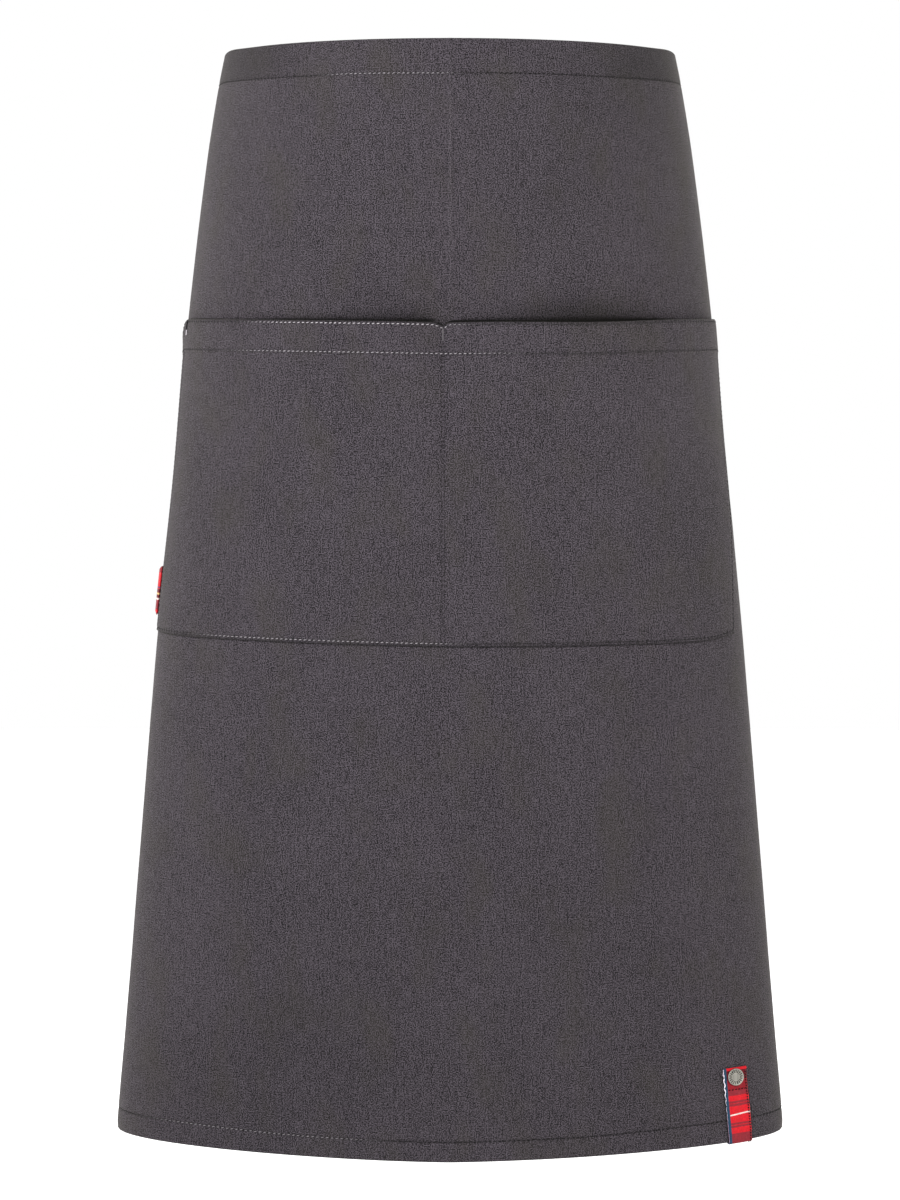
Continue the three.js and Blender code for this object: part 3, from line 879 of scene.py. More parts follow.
def make_stitches(name, runs, material=STITCH):
    points = np.concatenate([run[0] for run in runs])
    count = sum(run[2] for run in runs)
    piece = make_object(name, points, tube_faces(count, len(RING_PLACES), RING_SIDES), material)
    add_values(piece, "tone", np.concatenate([run[1] for run in runs]))
    return piece


def glint_between(start, end, soft, least=0.03, most=0.74):
    """Painted highlight on the thread between two places across, and painted shade beyond them."""
    def tone(first, second):
        rising = smooth_step(start - soft, start + soft, first)
        falling = 1 - smooth_step(end - soft, end + soft, first)
        return least + (most - least) * rising * falling
    return tone


# Painted shade all along a row of stitches
def dull(first, second):
    return 0.015 + 0 * first


def ride(piece, slot, *nodes):
    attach(piece, "root")
    if nodes:
        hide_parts(*nodes)
    return piece


# Panel
PANEL_STEP = 8.0
HEM_TURN = 0.6
TAB_SIDES = (TAB_PLACE - TAB_WIDTH / 2 - 6, TAB_PLACE + TAB_WIDTH / 2 + 2)


def hem_step(hem, distance):
    """One on a hem of this width, with a soft step to zero at its inner edge."""
    return 1 - smooth_step(hem - HEM_TURN, hem + HEM_TURN, distance)


def panel_wall(across, drop):
    """Wall thickness: thicker where the cloth is turned over."""
    top = hem_step(TOP_HEM, drop)
    bottom = hem_step(BOTTOM_HEM, APRON_LENGTH - drop)
    side = hem_step(SIDE_HEM, HALF_CLOTH - np.abs(across))
    return CLOTH_WALL + HEM_FOLD * np.maximum(np.maximum(top, bottom), side)


def panel_edge(across, drop):
    return np.minimum(np.minimum(drop, APRON_LENGTH - drop), HALF_CLOTH - np.abs(across))


def make_panel():
    half = joined(
        0, HALF_CLOTH, spread(0, HALF_CLOTH, PANEL_STEP), spread(0, 6, 0.6),
        spread(*TAB_SIDES, 0.8), graded([HALF_CLOTH - SIDE_STITCH], (0, 0.8, 1.6, 2.6)),
        HALF_CLOTH - np.array(EDGE_PLACES),
    )
    columns = np.concatenate([-half[:0:-1], half])
    lines = [TOP_STITCH, TOP_STITCH + TOP_STITCH_SAG, TOP_HEM, APRON_LENGTH - BOTTOM_STITCH,
        APRON_LENGTH - BOTTOM_STITCH - BOTTOM_STITCH_RISE, APRON_LENGTH - BOTTOM_HEM]
    rows = joined(
        0, APRON_LENGTH, spread(0, APRON_LENGTH, PANEL_STEP), graded(lines), spread(186, 214, 2),
        spread(POCKET_DROP - 5, POCKET_DROP + 4, 0.5),
        EDGE_PLACES, APRON_LENGTH - np.array(EDGE_PLACES), spread(APRON_LENGTH - 10, APRON_LENGTH, 1.5),
    )

    def place(across, drop, face):
        out = through_wall(panel_wall(across, drop), panel_edge(across, drop), face)
        return panel_point(across, drop, out)

    panel = make_wall(
        "apron_panel", columns, rows, place, CLOTH, lambda a, d: (a, -d), panel_seams, panel_shade,
    )
    return ride(panel, "apron_cloth", "panel")


def make_panel_stitches():
    wide = np.linspace(-HALF_CLOTH + 3, HALF_CLOTH - 3, 1200)
    down = np.linspace(TOP_HEM + 3, APRON_LENGTH - BOTTOM_HEM - 3, 900)
    # Painted highlights on parts of the top and bottom hems' rows, painted shade beyond
    top_glint = glint_between(-88, 0, 16, least=0.0, most=0.44)
    hem_glint = glint_between(-215, -60, 25, least=0.0, most=0.30)
    side = HALF_CLOTH - SIDE_STITCH
    pieces = []
    for name, out, face, top, hem in (
        ("panel_stitches", 0, 1, top_glint, hem_glint),
        ("panel_stitches_inside", -HEM_WALL, -1, dull, dull),
    ):
        runs = [
            stitch_run(panel_point, wide, top_line(wide), out, top, face),
            stitch_run(panel_point, wide, hem_line(wide), out, hem, face),
            stitch_run(panel_point, -side, down, out, dull, face),
            stitch_run(panel_point, side, down, out, dull, face),
        ]
        pieces.append(ride(make_stitches(name, runs), "apron_cloth"))
    return pieces


# Pocket
POCKET_STEP = 5.0
POCKET_FOLD = 23.6
POCKET_SIDE_FOLD = 0.6
POCKET_SIDE_HEM = 7.8


def side_fold(drop):
    """Thickness of the fold along the pocket's sides, pressed flat towards the bottom."""
    return POCKET_SIDE_FOLD * (1 - pocket_down(drop))


def pocket_wall(share, drop):
    from_top, _, from_side = pocket_insets(share, drop)
    fold = HEM_FOLD * hem_step(POCKET_FOLD, from_top)
    return CLOTH_WALL + np.maximum(fold, side_fold(drop) * hem_step(POCKET_SIDE_HEM, from_side))


def pocket_face(share, drop, out=0.0):
    """Points of the pocket's outer face."""
    return pocket_point(share, drop, out + pocket_wall(share, drop))


pocket_face.step = FRAME_REACH / POCKET_LEFT_TOP


def pocket_edge(share, drop):
    from_top, from_bottom, from_side = pocket_insets(share, drop)
    return np.minimum(np.minimum(from_top, from_bottom), from_side)


def make_pocket():
    per_mm = 1 / POCKET_LEFT_TOP
    edge = np.array([*EDGE_PLACES, 3.0, 4.2, 6.0, 7.2, 8.4, 10.0])
    half = joined(
        0, 1 / per_mm, spread(0, 1 / per_mm, POCKET_STEP), spread(0, 10, 0.7), spread(10, 20, 2),
        1 / per_mm - edge,
    ) * per_mm
    columns = np.concatenate([-half[:0:-1], half])
    bottom = POCKET_DROP + POCKET_HEIGHT
    lines = [POCKET_DROP + line for line in (*MOUTH_STITCHES, POCKET_FOLD)]
    rows = joined(
        POCKET_DROP, bottom, spread(POCKET_DROP, bottom, POCKET_STEP), graded([*lines, bottom - EDGE_STITCH]),
        spread(POCKET_DROP, POCKET_DROP + 20, 1.5),
        POCKET_DROP + np.array(EDGE_PLACES), bottom - np.array(EDGE_PLACES),
    )

    def place(share, drop, face):
        wall = pocket_wall(share, drop)
        return pocket_point(share, drop, wall + through_wall(wall, pocket_edge(share, drop), face))

    pocket = make_wall(
        "apron_pocket", columns, rows, place, CLOTH, lambda s, d: (pocket_across(s, d) + 7, -d - 3),
        pocket_seams, pocket_shade,
    )
    return ride(pocket, "apron_cloth", "pocket")


def make_pocket_stitches():
    bottom = POCKET_DROP + POCKET_HEIGHT
    margin = EDGE_STITCH / POCKET_LEFT_TOP
    wide = np.linspace(-1 + margin, 1 - margin, 900)
    down = np.linspace(POCKET_DROP + MOUTH_STITCHES[0], bottom - EDGE_STITCH, 500)
    seam = np.linspace(POCKET_DROP + 16, bottom - EDGE_STITCH, 500)
    apart = DIVIDER_STITCH / POCKET_LEFT_TOP
    # Painted highlights on parts of the pocket's rows, painted shade beyond
    upper = glint_between(-0.58, 0.02, 0.10)
    lower = glint_between(-0.62, 0.15, 0.14, least=0.035, most=0.50)
    foot = glint_between(-0.72, 0.02, 0.10, least=0.01, most=0.46)

    runs = [
        stitch_run(pocket_face, wide, POCKET_DROP + MOUTH_STITCHES[0], 0.0, upper),
        stitch_run(pocket_face, wide, POCKET_DROP + MOUTH_STITCHES[1], 0.0, lower),
        stitch_run(pocket_face, wide, bottom - EDGE_STITCH, 0.0, foot),
    ]
    runs += [stitch_run(pocket_face, share, down, 0.0, dull) for share in (margin - 1, 1 - margin)]
    runs += [stitch_run(pocket_face, share, seam, 0.0, dull, thread=FINE_THREAD) for share in (-apart, apart)]
    return ride(make_stitches("pocket_stitches", runs), "apron_cloth")


# Bar tacks: dense short stitches across a line
TACK_PITCH = 0.55
TACK_WIDTH = 1.0
DIVIDER_TACK = (2.5, 13.0)
CORNER_TACK = (8.6, 11.6)
CORNER_TACK_WIDTH = 3.0
CORNER_TACK_PLACE = 14.5
# A dark thread run beside the pocket's left corner, painted as the shadow line of its fold
CORNER_SHADOW = (1.5, 7.5)
CORNER_SHADOW_PLACE = 13.5
CORNER_THREAD = 0.4
TACK_OUT = 0.15


def tack_run(share, start, end, width, tone, thread=0.30):
    """A bar tack down the pocket, as short stitches side by side."""
    runs = []
    for down in np.arange(start, end, TACK_PITCH):
        reach = width / 2 / POCKET_LEFT_TOP
        ends = np.linspace(share - reach, share + reach, 5)
        runs.append(stitch_run(
            pocket_face, ends, POCKET_DROP + down, TACK_OUT, lambda f, s: tone + 0 * f, pitch=width,
            thread=thread,
        ))
    return runs


def make_bar_tacks():
    left = -1 + CORNER_TACK_PLACE / POCKET_LEFT_TOP
    fold = -1 + CORNER_SHADOW_PLACE / POCKET_LEFT_TOP
    # The divider tack darkened by painted shade; the dark run at the corner is a painted shadow line
    runs = tack_run(0.0, *DIVIDER_TACK, TACK_WIDTH, 0.32)
    runs += tack_run(left, *CORNER_TACK, CORNER_TACK_WIDTH, 1.0, CORNER_THREAD)
    runs += tack_run(fold, *CORNER_SHADOW, CORNER_TACK_WIDTH, 0.0, CORNER_THREAD)
    return ride(make_stitches("bar_tacks", runs), "apron_cloth")


# Ribbon: bands along it, in millimetres from its start, over a ground colour
RIBBON_RED = srgb(218, 14, 34)
RIBBON_MAROON = srgb(110, 12, 28)
RIBBON_DEEP = srgb(150, 14, 32)
RIBBON_DULL = srgb(144, 32, 46)
RIBBON_CREAM = srgb(240, 224, 220)
RIBBON_YELLOW = srgb(232, 196, 130)
RIBBON_BLUE = srgb(30, 66, 92)
RIBBON_PLUM = srgb(106, 56, 110)

TAB_BANDS = [
    # start, end, slant, colour
    (1.9, 9.0, 0.00, RIBBON_MAROON),
    (9.0, 16.6, 0.00, RIBBON_DEEP),
    (16.6, 20.2, 0.00, RIBBON_DULL),
    (24.1, 25.7, 0.00, RIBBON_DULL),
    (26.1, 27.9, 0.00, RIBBON_DULL),
    (33.3, 34.3, 0.07, RIBBON_CREAM),
    (39.9, 41.4, 0.00, RIBBON_DULL),
    (41.9, 43.4, 0.00, RIBBON_DULL),
    (47.6, 56.0, 0.00, RIBBON_DULL),
]
TAG_BANDS = [
    (-2.0, 4.2, 0.00, RIBBON_DEEP),
    (14.6, 15.7, 0.00, RIBBON_PLUM),
    (16.2, 19.1, 0.00, RIBBON_MAROON),
    (19.1, 20.4, 0.00, RIBBON_YELLOW),
    (20.4, 22.8, 0.00, RIBBON_MAROON),
    (22.8, 24.2, 0.00, RIBBON_CREAM),
    (24.4, 31.2, 0.00, RIBBON_DULL),
    (33.4, 40.0, 0.00, RIBBON_DEEP),
]
BAND_SOFT = 0.12


def ribbon_material(name, bands, blue_edge=None):
    """Woven ribbon: fine ribs across it, colour bands along it, and one edge of another colour."""
    shader = Shader(name)
    across, along = shader.cloth_place()
    along = shader.math("MULTIPLY", along, -1.0)
    rib = shader.noise(shader.place(CLOTH_MAP, (1 / 2.5, 1 / 0.30)), 1.0)
    warp = shader.noise(shader.place(CLOTH_MAP, (1 / 0.30, 1 / 3.0)), 1.0)
    weave = shader.math("MULTIPLY", shader.math("ADD", rib, warp), 0.5)
    ragged = shader.math("ADD", along, shader.swing(warp, 0.7))
    colour = RIBBON_RED
    for start, end, slant, tone in bands:
        place = shader.math("ADD", ragged, shader.math("MULTIPLY", across, slant))
        colour = shader.mix(shader.band(place, start, end, BAND_SOFT), colour, tone)
    if blue_edge is not None:
        wavy = shader.math("ADD", across, shader.swing(rib, 0.6))
        colour = shader.mix(shader.band(wavy, -20, blue_edge, 0.15), colour, RIBBON_BLUE)
    level = shader.ramp(weave, From_Min=0.3, From_Max=0.7, To_Min=0.62, To_Max=1.12)
    grey = shader.add("ShaderNodeCombineColor", _0=level, _1=level, _2=level).outputs[0]
    colour = shader.mix(1.0, colour, grey, "MULTIPLY")
    return shader.finish(
        colour, 0.66, shader.bump(weave, 0.25 * MM), Sheen_Weight=0.05, Sheen_Roughness=0.4,
        Specular_IOR_Level=0.25,
    )


TAB_BLUE = 2.1
TAB_CLOTH = ribbon_material("ribbon_tab", TAB_BANDS, -TAB_WIDTH / 2 + TAB_BLUE)
TAG_CLOTH = ribbon_material("ribbon_tag", TAG_BANDS)

TURN_RADIUS = HEM_WALL / 2 + SEAM_GAP + RIBBON_WALL / 2
TURN_LENGTH = math.pi * TURN_RADIUS
TURN_DROP = 0.9
TAB_LENGTH = 2 * TAB_HEIGHT + TURN_LENGTH
TAB_STITCH = 15.9
TAB_EDGE_STITCH = 1.4
RIBBON_ROUND = 0.5


def tab_point(offset, along, out=0.0):
    """Points of the hem tab. along runs down the front, round the hem and up the back."""
    offset, along, out = np.broadcast_arrays(np.asarray(offset, float), along, out)
    turn = np.clip((along - TAB_HEIGHT) / TURN_RADIUS, 0, math.pi)
    radius = TURN_RADIUS + out
    on_front = np.minimum(along - TAB_HEIGHT, 0)
    on_back = np.maximum(along - TAB_HEIGHT - TURN_LENGTH, 0)
    drop = APRON_LENGTH + on_front - on_back + (TURN_DROP + out) * np.sin(turn)
    across = TAB_PLACE + offset - TAB_LEAN * (APRON_LENGTH - drop)
    layer = radius * np.cos(turn) - HEM_WALL / 2
    return cloth_point(across, drop, layer + soft_folds(across, drop))


tab_point.step = FRAME_REACH


def tab_relief(offset, along):
    """The rolled top fold, the groove under it, the seam below the stud and the raised selvages."""
    fold = 0.75 * dip(along - 1.1, 1.1) - 0.15 * dip(along - 2.9, 0.7)
    seam = 0.25 * dip(along - TAB_STITCH, 0.9)
    selvage = 0.15 * dip(TAB_WIDTH / 2 - np.abs(offset) - 0.6, 0.5)
    wave = 0.25 * np.sin(offset * 0.45 + along * 0.11) * smooth_step(3, 12, along)
    front = along < TAB_HEIGHT
    return np.where(front, fold - seam + wave * smooth_step(TAB_HEIGHT, TAB_HEIGHT - 6, along), 0) + selvage


def ribbon_wall(distance, face, wall=RIBBON_WALL):
    return (face - 0.5) * wall * rounded(distance, RIBBON_ROUND)


def make_hem_tab():
    half = TAB_WIDTH / 2
    columns = edged(-half, half, 0.7, 0.15)
    rows = joined(
        0, TAB_LENGTH, spread(0, TAB_HEIGHT, 0.7), spread(TAB_HEIGHT, TAB_HEIGHT + TURN_LENGTH, 0.35),
        spread(TAB_HEIGHT + TURN_LENGTH, TAB_LENGTH, 2.0), 0.15, TAB_LENGTH - 0.15,
    )

    def place(offset, along, face):
        edge = np.minimum(half - np.abs(offset), np.minimum(along, TAB_LENGTH - along))
        relief = np.maximum(tab_relief(offset, along), -0.1)
        lift = relief if face == 1 else np.maximum(relief - 0.3, 0)
        return tab_point(offset, along, lift + ribbon_wall(edge, face))

    tab = make_wall("ribbon_hem_tab", columns, rows, place, TAB_CLOTH, lambda o, a: (o, -a))
    return ride(tab, "striped_ribbon", "hem_tab")


def tab_face(offset, along, out=0.0):
    return tab_point(offset, along, out + RIBBON_WALL / 2 + np.maximum(tab_relief(offset, along), -0.1))


tab_face.step = FRAME_REACH
RIBBON_THREAD = thread_material("thread_dark_red", srgb(10, 4, 8), srgb(80, 24, 34))


def make_tab_stitches():
    half = TAB_WIDTH / 2
    wide = np.linspace(-half + TAB_BLUE, half - 1, 60)
    down = np.linspace(3, TAB_HEIGHT + TURN_LENGTH, 120)
    runs = [
        stitch_run(tab_face, wide, TAB_STITCH, 0.0, dull, pitch=2.4, thread=0.40),
        stitch_run(tab_face, half - TAB_EDGE_STITCH, down, 0.0, dull, pitch=2.0, thread=0.48),
    ]
    return ride(make_stitches("ribbon_tab_stitches", runs, RIBBON_THREAD), "striped_ribbon")


# Selvage: a wavy thread along the tab's left edge
SELVAGE_THREAD = 0.42
SELVAGE_WAVE = 0.45
SELVAGE_PITCH = 5.2
SELVAGE_GRAIN = 260.0


def make_tube(name, path, radius, material, sides=8):
    """A closed tube along a path of points."""
    ahead = unit(np.gradient(path, axis=0))
    away = unit(np.cross(ahead, [0, 0, 1.0]) + 1e-9)
    beside = np.cross(ahead, away)
    cosine, sine = (part[:, None] for part in circle(sides))
    size = np.broadcast_to(np.asarray(radius, float), len(path))[:, None, None]
    points = path[:, None] + size * (cosine * away[:, None] + sine * beside[:, None])
    return make_object(name, points.reshape(-1, 3), tube_faces(1, len(path), sides), material)


def selvage_material(name):
    shader = Shader(name)
    patch = shader.noise(shader.body_place(), 1.0, SELVAGE_GRAIN)
    mask = shader.ramp(patch, From_Min=0.4, From_Max=0.6)
    colour = shader.mix(mask, srgb(240, 234, 248), srgb(200, 160, 190))
    return shader.finish(colour, 0.6, shader.bump(patch, THREAD_RELIEF), Sheen_Weight=0.2)


def make_selvage():
    along = np.linspace(0.6, TAB_HEIGHT + 0.6 * TURN_LENGTH, 150)
    wave = SELVAGE_WAVE * np.sin(2 * math.pi * along / SELVAGE_PITCH) * smooth_step(46, 20, along)
    path = tab_point(-TAB_WIDTH / 2 - 0.1 + wave * 0.8, along, 0.1)
    radius = SELVAGE_THREAD * lerp(0.26, 1.0, smooth_step(28, 12, along)) * (1 + 0.25 * np.sin(1.7 * along))
    selvage = make_tube("ribbon_selvage", path, radius, selvage_material("thread_selvage"))
    return ride(selvage, "striped_ribbon")


# Side tag: a ribbon loop out of the pocket's left seam
TAG_LAYER = SEAM_GAP / 2 + RIBBON_WALL / 2
TAG_LEG = TAG_REACH - SEAM_GAP / 2 - RIBBON_WALL
TAG_LENGTH = 2 * TAG_LEG + math.pi * TAG_LAYER
TAG_TOP = POCKET_DROP + TAG_DROP


def tag_point(along, down, out=0.0):
    """Points of the side tag. along runs out on the front layer, round the bend and back behind."""
    along, down, out = np.broadcast_arrays(np.asarray(along, float), down, out)
    turn = np.clip((along - TAG_LEG) / TAG_LAYER, 0, math.pi)
    radius = TAG_LAYER + out
    bent = np.minimum(along, TAG_LEG) - np.maximum(along - TAG_LEG - math.pi * TAG_LAYER, 0)
    reach = bent + radius * np.sin(turn)
    drop = TAG_TOP + down
    ends = np.minimum(smooth_step(-1, TAG_TAPER, down), smooth_step(-0.5, TAG_TAPER, TAG_HEIGHT - down))
    lift = lerp(TAG_LIFT_TOP, TAG_LIFT_BOTTOM, down / TAG_HEIGHT) * ends * reach / TAG_REACH
    layer = SEAM_GAP / 2 + RIBBON_WALL + SEAM_GAP + lift + radius * np.cos(turn)
    return cloth_point(pocket_across(-1, drop) - SEAM_GAP - reach, drop, layer)


def make_side_tag():
    columns = joined(
        0, TAG_LENGTH, spread(0, TAG_LEG, 0.8), spread(TAG_LEG, TAG_LEG + math.pi * TAG_LAYER, 0.25),
        spread(TAG_LEG, TAG_LENGTH, 1.6), 0.15, TAG_LENGTH - 0.15,
    )
    rows = edged(0, TAG_HEIGHT, 0.8, 0.15)

    def place(along, down, face):
        edge = np.minimum(np.minimum(along, TAG_LENGTH - along), np.minimum(down, TAG_HEIGHT - down))
        return tag_point(along, down, ribbon_wall(edge, 1 - face))

    tag = make_wall("ribbon_side_tag", columns, rows, place, TAG_CLOTH, lambda a, d: (a, -d))
    return ride(tag, "striped_ribbon", "side_tag")


# Stud: lathed outlines of (radius, height above the cloth's outer face)
STUD_SEAT = SEAM_GAP + RIBBON_WALL + SEAM_GAP
STUD_TOP = STUD_SEAT + STUD_CAP_HEIGHT
STUD_RIM_WIDTH = 0.55
STUD_TILT = 0.6
STUD_SUNK = STUD_TOP - 0.45
BACK_SEAT = -HEM_WALL - STUD_SEAT
BACK_END = BACK_SEAT - STUD_BACK_HEIGHT
POST_RADIUS = 1.8
STUD_SIDES = 72
BLOCKS = 18
BLOCK_INSIDE = 3.0
BLOCK_OUTSIDE = 5.25
BLOCK_DEPTH = 0.45
PEWTER_GRAIN = 900.0


def stud_frame():
    drop = APRON_LENGTH - TAB_HEIGHT + STUD_DROP
    across = TAB_PLACE + STUD_SHIFT - TAB_LEAN * (APRON_LENGTH - drop)
    middle, normal = surface_frame(panel_point, np.array(across), np.array(drop), 0.0)
    normal = unit(normal + STUD_TILT * np.array([0, -1.0, 0]))
    side = unit(np.cross([0, 0, 1.0], normal))
    return middle, side, np.cross(normal, side), normal


def lathe(outline):
    """Points of an outline turned round the stud's axis, in the stud's own frame."""
    radius, height = np.array(outline, float).T
    cosine, sine = circle(STUD_SIDES)
    level = np.outer(height, np.ones(STUD_SIDES))
    return np.stack([np.outer(radius, cosine), np.outer(radius, sine), level], -1).reshape(-1, 3)


def pewter_material(name):
    """Dull cast pewter, darker where the tone value says that it is hollow."""
    shader = Shader(name)
    grain = shader.noise(shader.body_place(), 3.0, PEWTER_GRAIN)
    worn = shader.clamp(shader.math("ADD", shader.value("tone"), shader.swing(grain, 0.9)))
    colour = shader.mix(worn, srgb(26, 25, 23), srgb(160, 158, 151))
    roughness = shader.ramp(grain, To_Min=0.34, To_Max=0.55)
    return shader.finish(colour, roughness, shader.bump(grain, 0.06 * MM), Metallic=0.85)


PEWTER = pewter_material("pewter_cast")


def make_metal(name, points, faces, node, hollow, crest):
    """Metal turned round the stud's axis. Its tone runs from the hollow's height to the crest's."""
    middle, side, up, normal = stud_frame()
    placed = middle + points[:, :1] * side + points[:, 1:2] * up + points[:, 2:] * normal
    piece = make_object(name, placed, faces, PEWTER)
    add_values(piece, "tone", smooth_step(hollow, crest, points[:, 2]))
    return ride(piece, "pewter", node)


def make_stud():
    rim = STUD_RADIUS - STUD_RIM_WIDTH / 2
    bevel = 0.35
    block_top = STUD_SUNK + 0.24
    outline = [
        (0.01, BACK_END), (POST_RADIUS, BACK_END), (POST_RADIUS, STUD_SEAT), (STUD_RADIUS - bevel, STUD_SEAT),
        (STUD_RADIUS, STUD_SEAT + bevel), (STUD_RADIUS, STUD_TOP - 2 * bevel),
        (STUD_RADIUS - 0.12, STUD_TOP - bevel), (rim + 0.1, STUD_TOP), (rim - 0.15, STUD_TOP - 0.08),
        (rim - 0.4, STUD_SUNK + 0.30), (BLOCK_OUTSIDE, block_top), (BLOCK_OUTSIDE - 0.1, block_top),
        (BLOCK_INSIDE + 0.1, block_top), (BLOCK_INSIDE, block_top), (2.4, STUD_SUNK + 0.11),
        (1.2, STUD_SUNK + 0.12), (0.01, STUD_SUNK + 0.12),
    ]
    points = lathe(outline)
    radius, turn = np.hypot(points[:, 0], points[:, 1]), np.arctan2(points[:, 1], points[:, 0])
    ring = (radius > BLOCK_INSIDE + 0.05) & (radius < BLOCK_OUTSIDE - 0.05) & (points[:, 2] > STUD_SUNK)
    gap = np.cos(BLOCKS * turn + 0.8) < 0
    points[:, 2] -= BLOCK_DEPTH * (ring & gap)
    faces = tube_faces(1, len(outline), STUD_SIDES)
    return make_metal("stud_front", points, faces, "stud_cap", STUD_SUNK - 0.1, STUD_SUNK + 0.2)


def make_stud_back():
    hole = POST_RADIUS + SEAM_GAP
    bevel = 0.3
    outline = [
        (hole, BACK_SEAT), (hole, BACK_END + bevel), (hole + bevel, BACK_END),
        (STUD_BACK_RADIUS - 1.2, BACK_END), (STUD_BACK_RADIUS - bevel, BACK_END + 0.15),
        (STUD_BACK_RADIUS, BACK_END + 2 * bevel), (STUD_BACK_RADIUS, BACK_SEAT),
    ]
    ring = np.arange(STUD_SIDES)
    after = (ring + 1) % STUD_SIDES
    faces = []
    for step in range(len(outline)):
        low, high = step * STUD_SIDES, (step + 1) % len(outline) * STUD_SIDES
        faces += np.stack([low + ring, high + ring, high + after, low + after], -1).tolist()
    return make_metal("stud_rear", lathe(outline), faces, "stud_back", BACK_END - 1, BACK_SEAT)


# Tapes, knot and hanging ends
TIE_TOP = 2.0
TIE_MIDDLE = TIE_TOP + TIE_WIDTH / 2
TIE_OUT = -HEM_WALL - SEAM_GAP
TIE_PINCH = 0.78
TIE_EDGE_STITCH = 2.0
TIE_NEAR = KNOT_WIDTH / 2 - 2
TIE_FAR = BACK_GAP / 2 + TIE_TUCK


def tie_point(side):
    def place(distance, offset, out=0.0):
        """distance is from the centre back, offset down from the tape's middle line."""
        distance, offset, out = np.broadcast_arrays(np.asarray(distance, float), offset, out)
        pinch = lerp(TIE_PINCH, 1.0, smooth_step(KNOT_WIDTH / 2, KNOT_WIDTH / 2 + 16, distance))
        pleat = 0.5 * np.sin(offset * 0.9) * (1 - smooth_step(KNOT_WIDTH / 2, KNOT_WIDTH / 2 + 12, distance))
        drop = TIE_MIDDLE + offset * pinch
        across = side * (np.interp(drop, TABLE_DROPS, HALF_ROUND) - distance)
        return cloth_point(across, drop, TIE_OUT - TIE_WALL / 2 + pleat + out)
    place.step = FRAME_REACH
    return place


def make_tie(name, side, node):
    half = TIE_WIDTH / 2
    distances = edged(TIE_NEAR, TIE_FAR, 1.5, 0.2)
    columns = distances[::-1] if side > 0 else distances
    rows = edged(-half, half, 1.0, 0.2)
    surface = tie_point(side)

    def place(distance, offset, face):
        edge = np.minimum(half - np.abs(offset), np.minimum(distance - TIE_NEAR, TIE_FAR - distance))
        return surface(distance, offset, ribbon_wall(edge, face, TIE_WALL))

    tie = make_wall(name, columns, rows, place, CLOTH, lambda d, o: (side * d, -o))
    return ride(tie, "apron_cloth", node)


def back_line(drop):
    """The body's back at the centre, as a depth."""
    _, shift, _, back, _ = section_at(drop)
    return back - shift


# Wraps of the knot: points from its centre, with the tape's width and thickness at each
KNOT_CROSS = [
    # x, y, z, width, thickness
    (-11.5, -1.6, 0.5, 17.0, 1.6),
    (-8.5, 0.6, 1.0, 15.0, 2.4),
    (-5.0, 3.0, 1.4, 12.5, 3.4),
    (0.0, 4.0, 0.6, 11.5, 3.8),
    (5.0, 3.0, -0.8, 12.5, 3.4),
    (8.5, 0.6, -0.8, 15.0, 2.4),
    (11.5, -1.6, -0.5, 17.0, 1.6),
]
KNOT_OVER = [
    (-2.6, -2.6, 9.0, 9.0, 2.6),
    (-2.2, 1.2, 11.0, 10.0, 3.0),
    (-1.2, 5.6, 7.6, 11.0, 3.0),
    (0.4, 7.6, 0.4, 11.5, 3.0),
    (1.8, 5.8, -7.0, 11.0, 3.0),
    (2.6, 1.6, -10.8, 10.0, 3.0),
    (2.8, -2.4, -9.2, 9.0, 2.6),
]
WRAP_STEPS = 36
WRAP_SIDES = 20


def wrap_points(rows, centre):
    """Points of a soft flat tape swept along a smooth curve through the rows."""
    table = np.array([(index, *row) for index, row in enumerate(rows)], float)
    columns = read_table(table, np.linspace(0, len(rows) - 1, WRAP_STEPS))
    path, width, thick = columns[:3].T + centre, columns[3], columns[4]
    ahead = unit(np.gradient(path, axis=0))
    outward = np.array([0, 1.0, 0]) - ahead * ahead[:, 1:2] + (path - centre) * 0.05
    outward = unit(outward - ahead * np.sum(outward * ahead, axis=1, keepdims=True))
    beside = np.cross(ahead, outward)
    turn = np.linspace(0, 2 * math.pi, WRAP_SIDES, endpoint=False)
    lobes = 1 + 0.10 * np.cos(5 * turn)
    aside = np.sign(np.cos(turn)) * np.abs(np.cos(turn)) ** 0.7
    height = np.sign(np.sin(turn)) * np.abs(np.sin(turn)) ** 0.8 * lobes
    points = path[:, None] + (
        width[:, None, None] / 2 * aside[None, :, None] * beside[:, None]
        + thick[:, None, None] / 2 * height[None, :, None] * outward[:, None]
    )
    return points.reshape(-1, 3)


def tail_point(side):
    def place(offset, down, out=0.0):
        offset, down, out = np.broadcast_arrays(np.asarray(offset, float), down, out)
        pinch = lerp(0.55, 1.0, smooth_step(4, 30, down))
        drop = TIE_MIDDLE + down
        middle = side * (2.0 + (TAIL_SPREAD - 2.0) * (down / TAIL_LENGTH) ** 0.9)
        x = middle + offset * pinch * 0.98
        curl = 0.6 * np.sin(offset * 0.35 + side * 0.8) * smooth_step(0, 60, down)
        pleat = 0.9 * np.cos(offset * 0.8) * (1 - smooth_step(6, 34, down))
        layer = TIE_OUT + KNOT_DEPTH / 4 + side * TIE_WALL
        return np.stack([x, back_line(drop) + layer + curl + pleat + out, -drop], -1)
    place.step = FRAME_REACH
    return place


def make_tail(name, side):
    half = TIE_WIDTH / 2
    columns = edged(-half, half, 1.0, 0.2)[::-1]
    rows = edged(0, TAIL_LENGTH, 2.0, 0.2)
    surface = tail_point(side)

    def place(offset, down, face):
        edge = np.minimum(half - np.abs(offset), TAIL_LENGTH - down)
        return surface(offset, down, ribbon_wall(edge, face, TIE_WALL))

    return ride(make_wall(name, columns, rows, place, CLOTH, lambda o, d: (o, -d)), "apron_cloth")


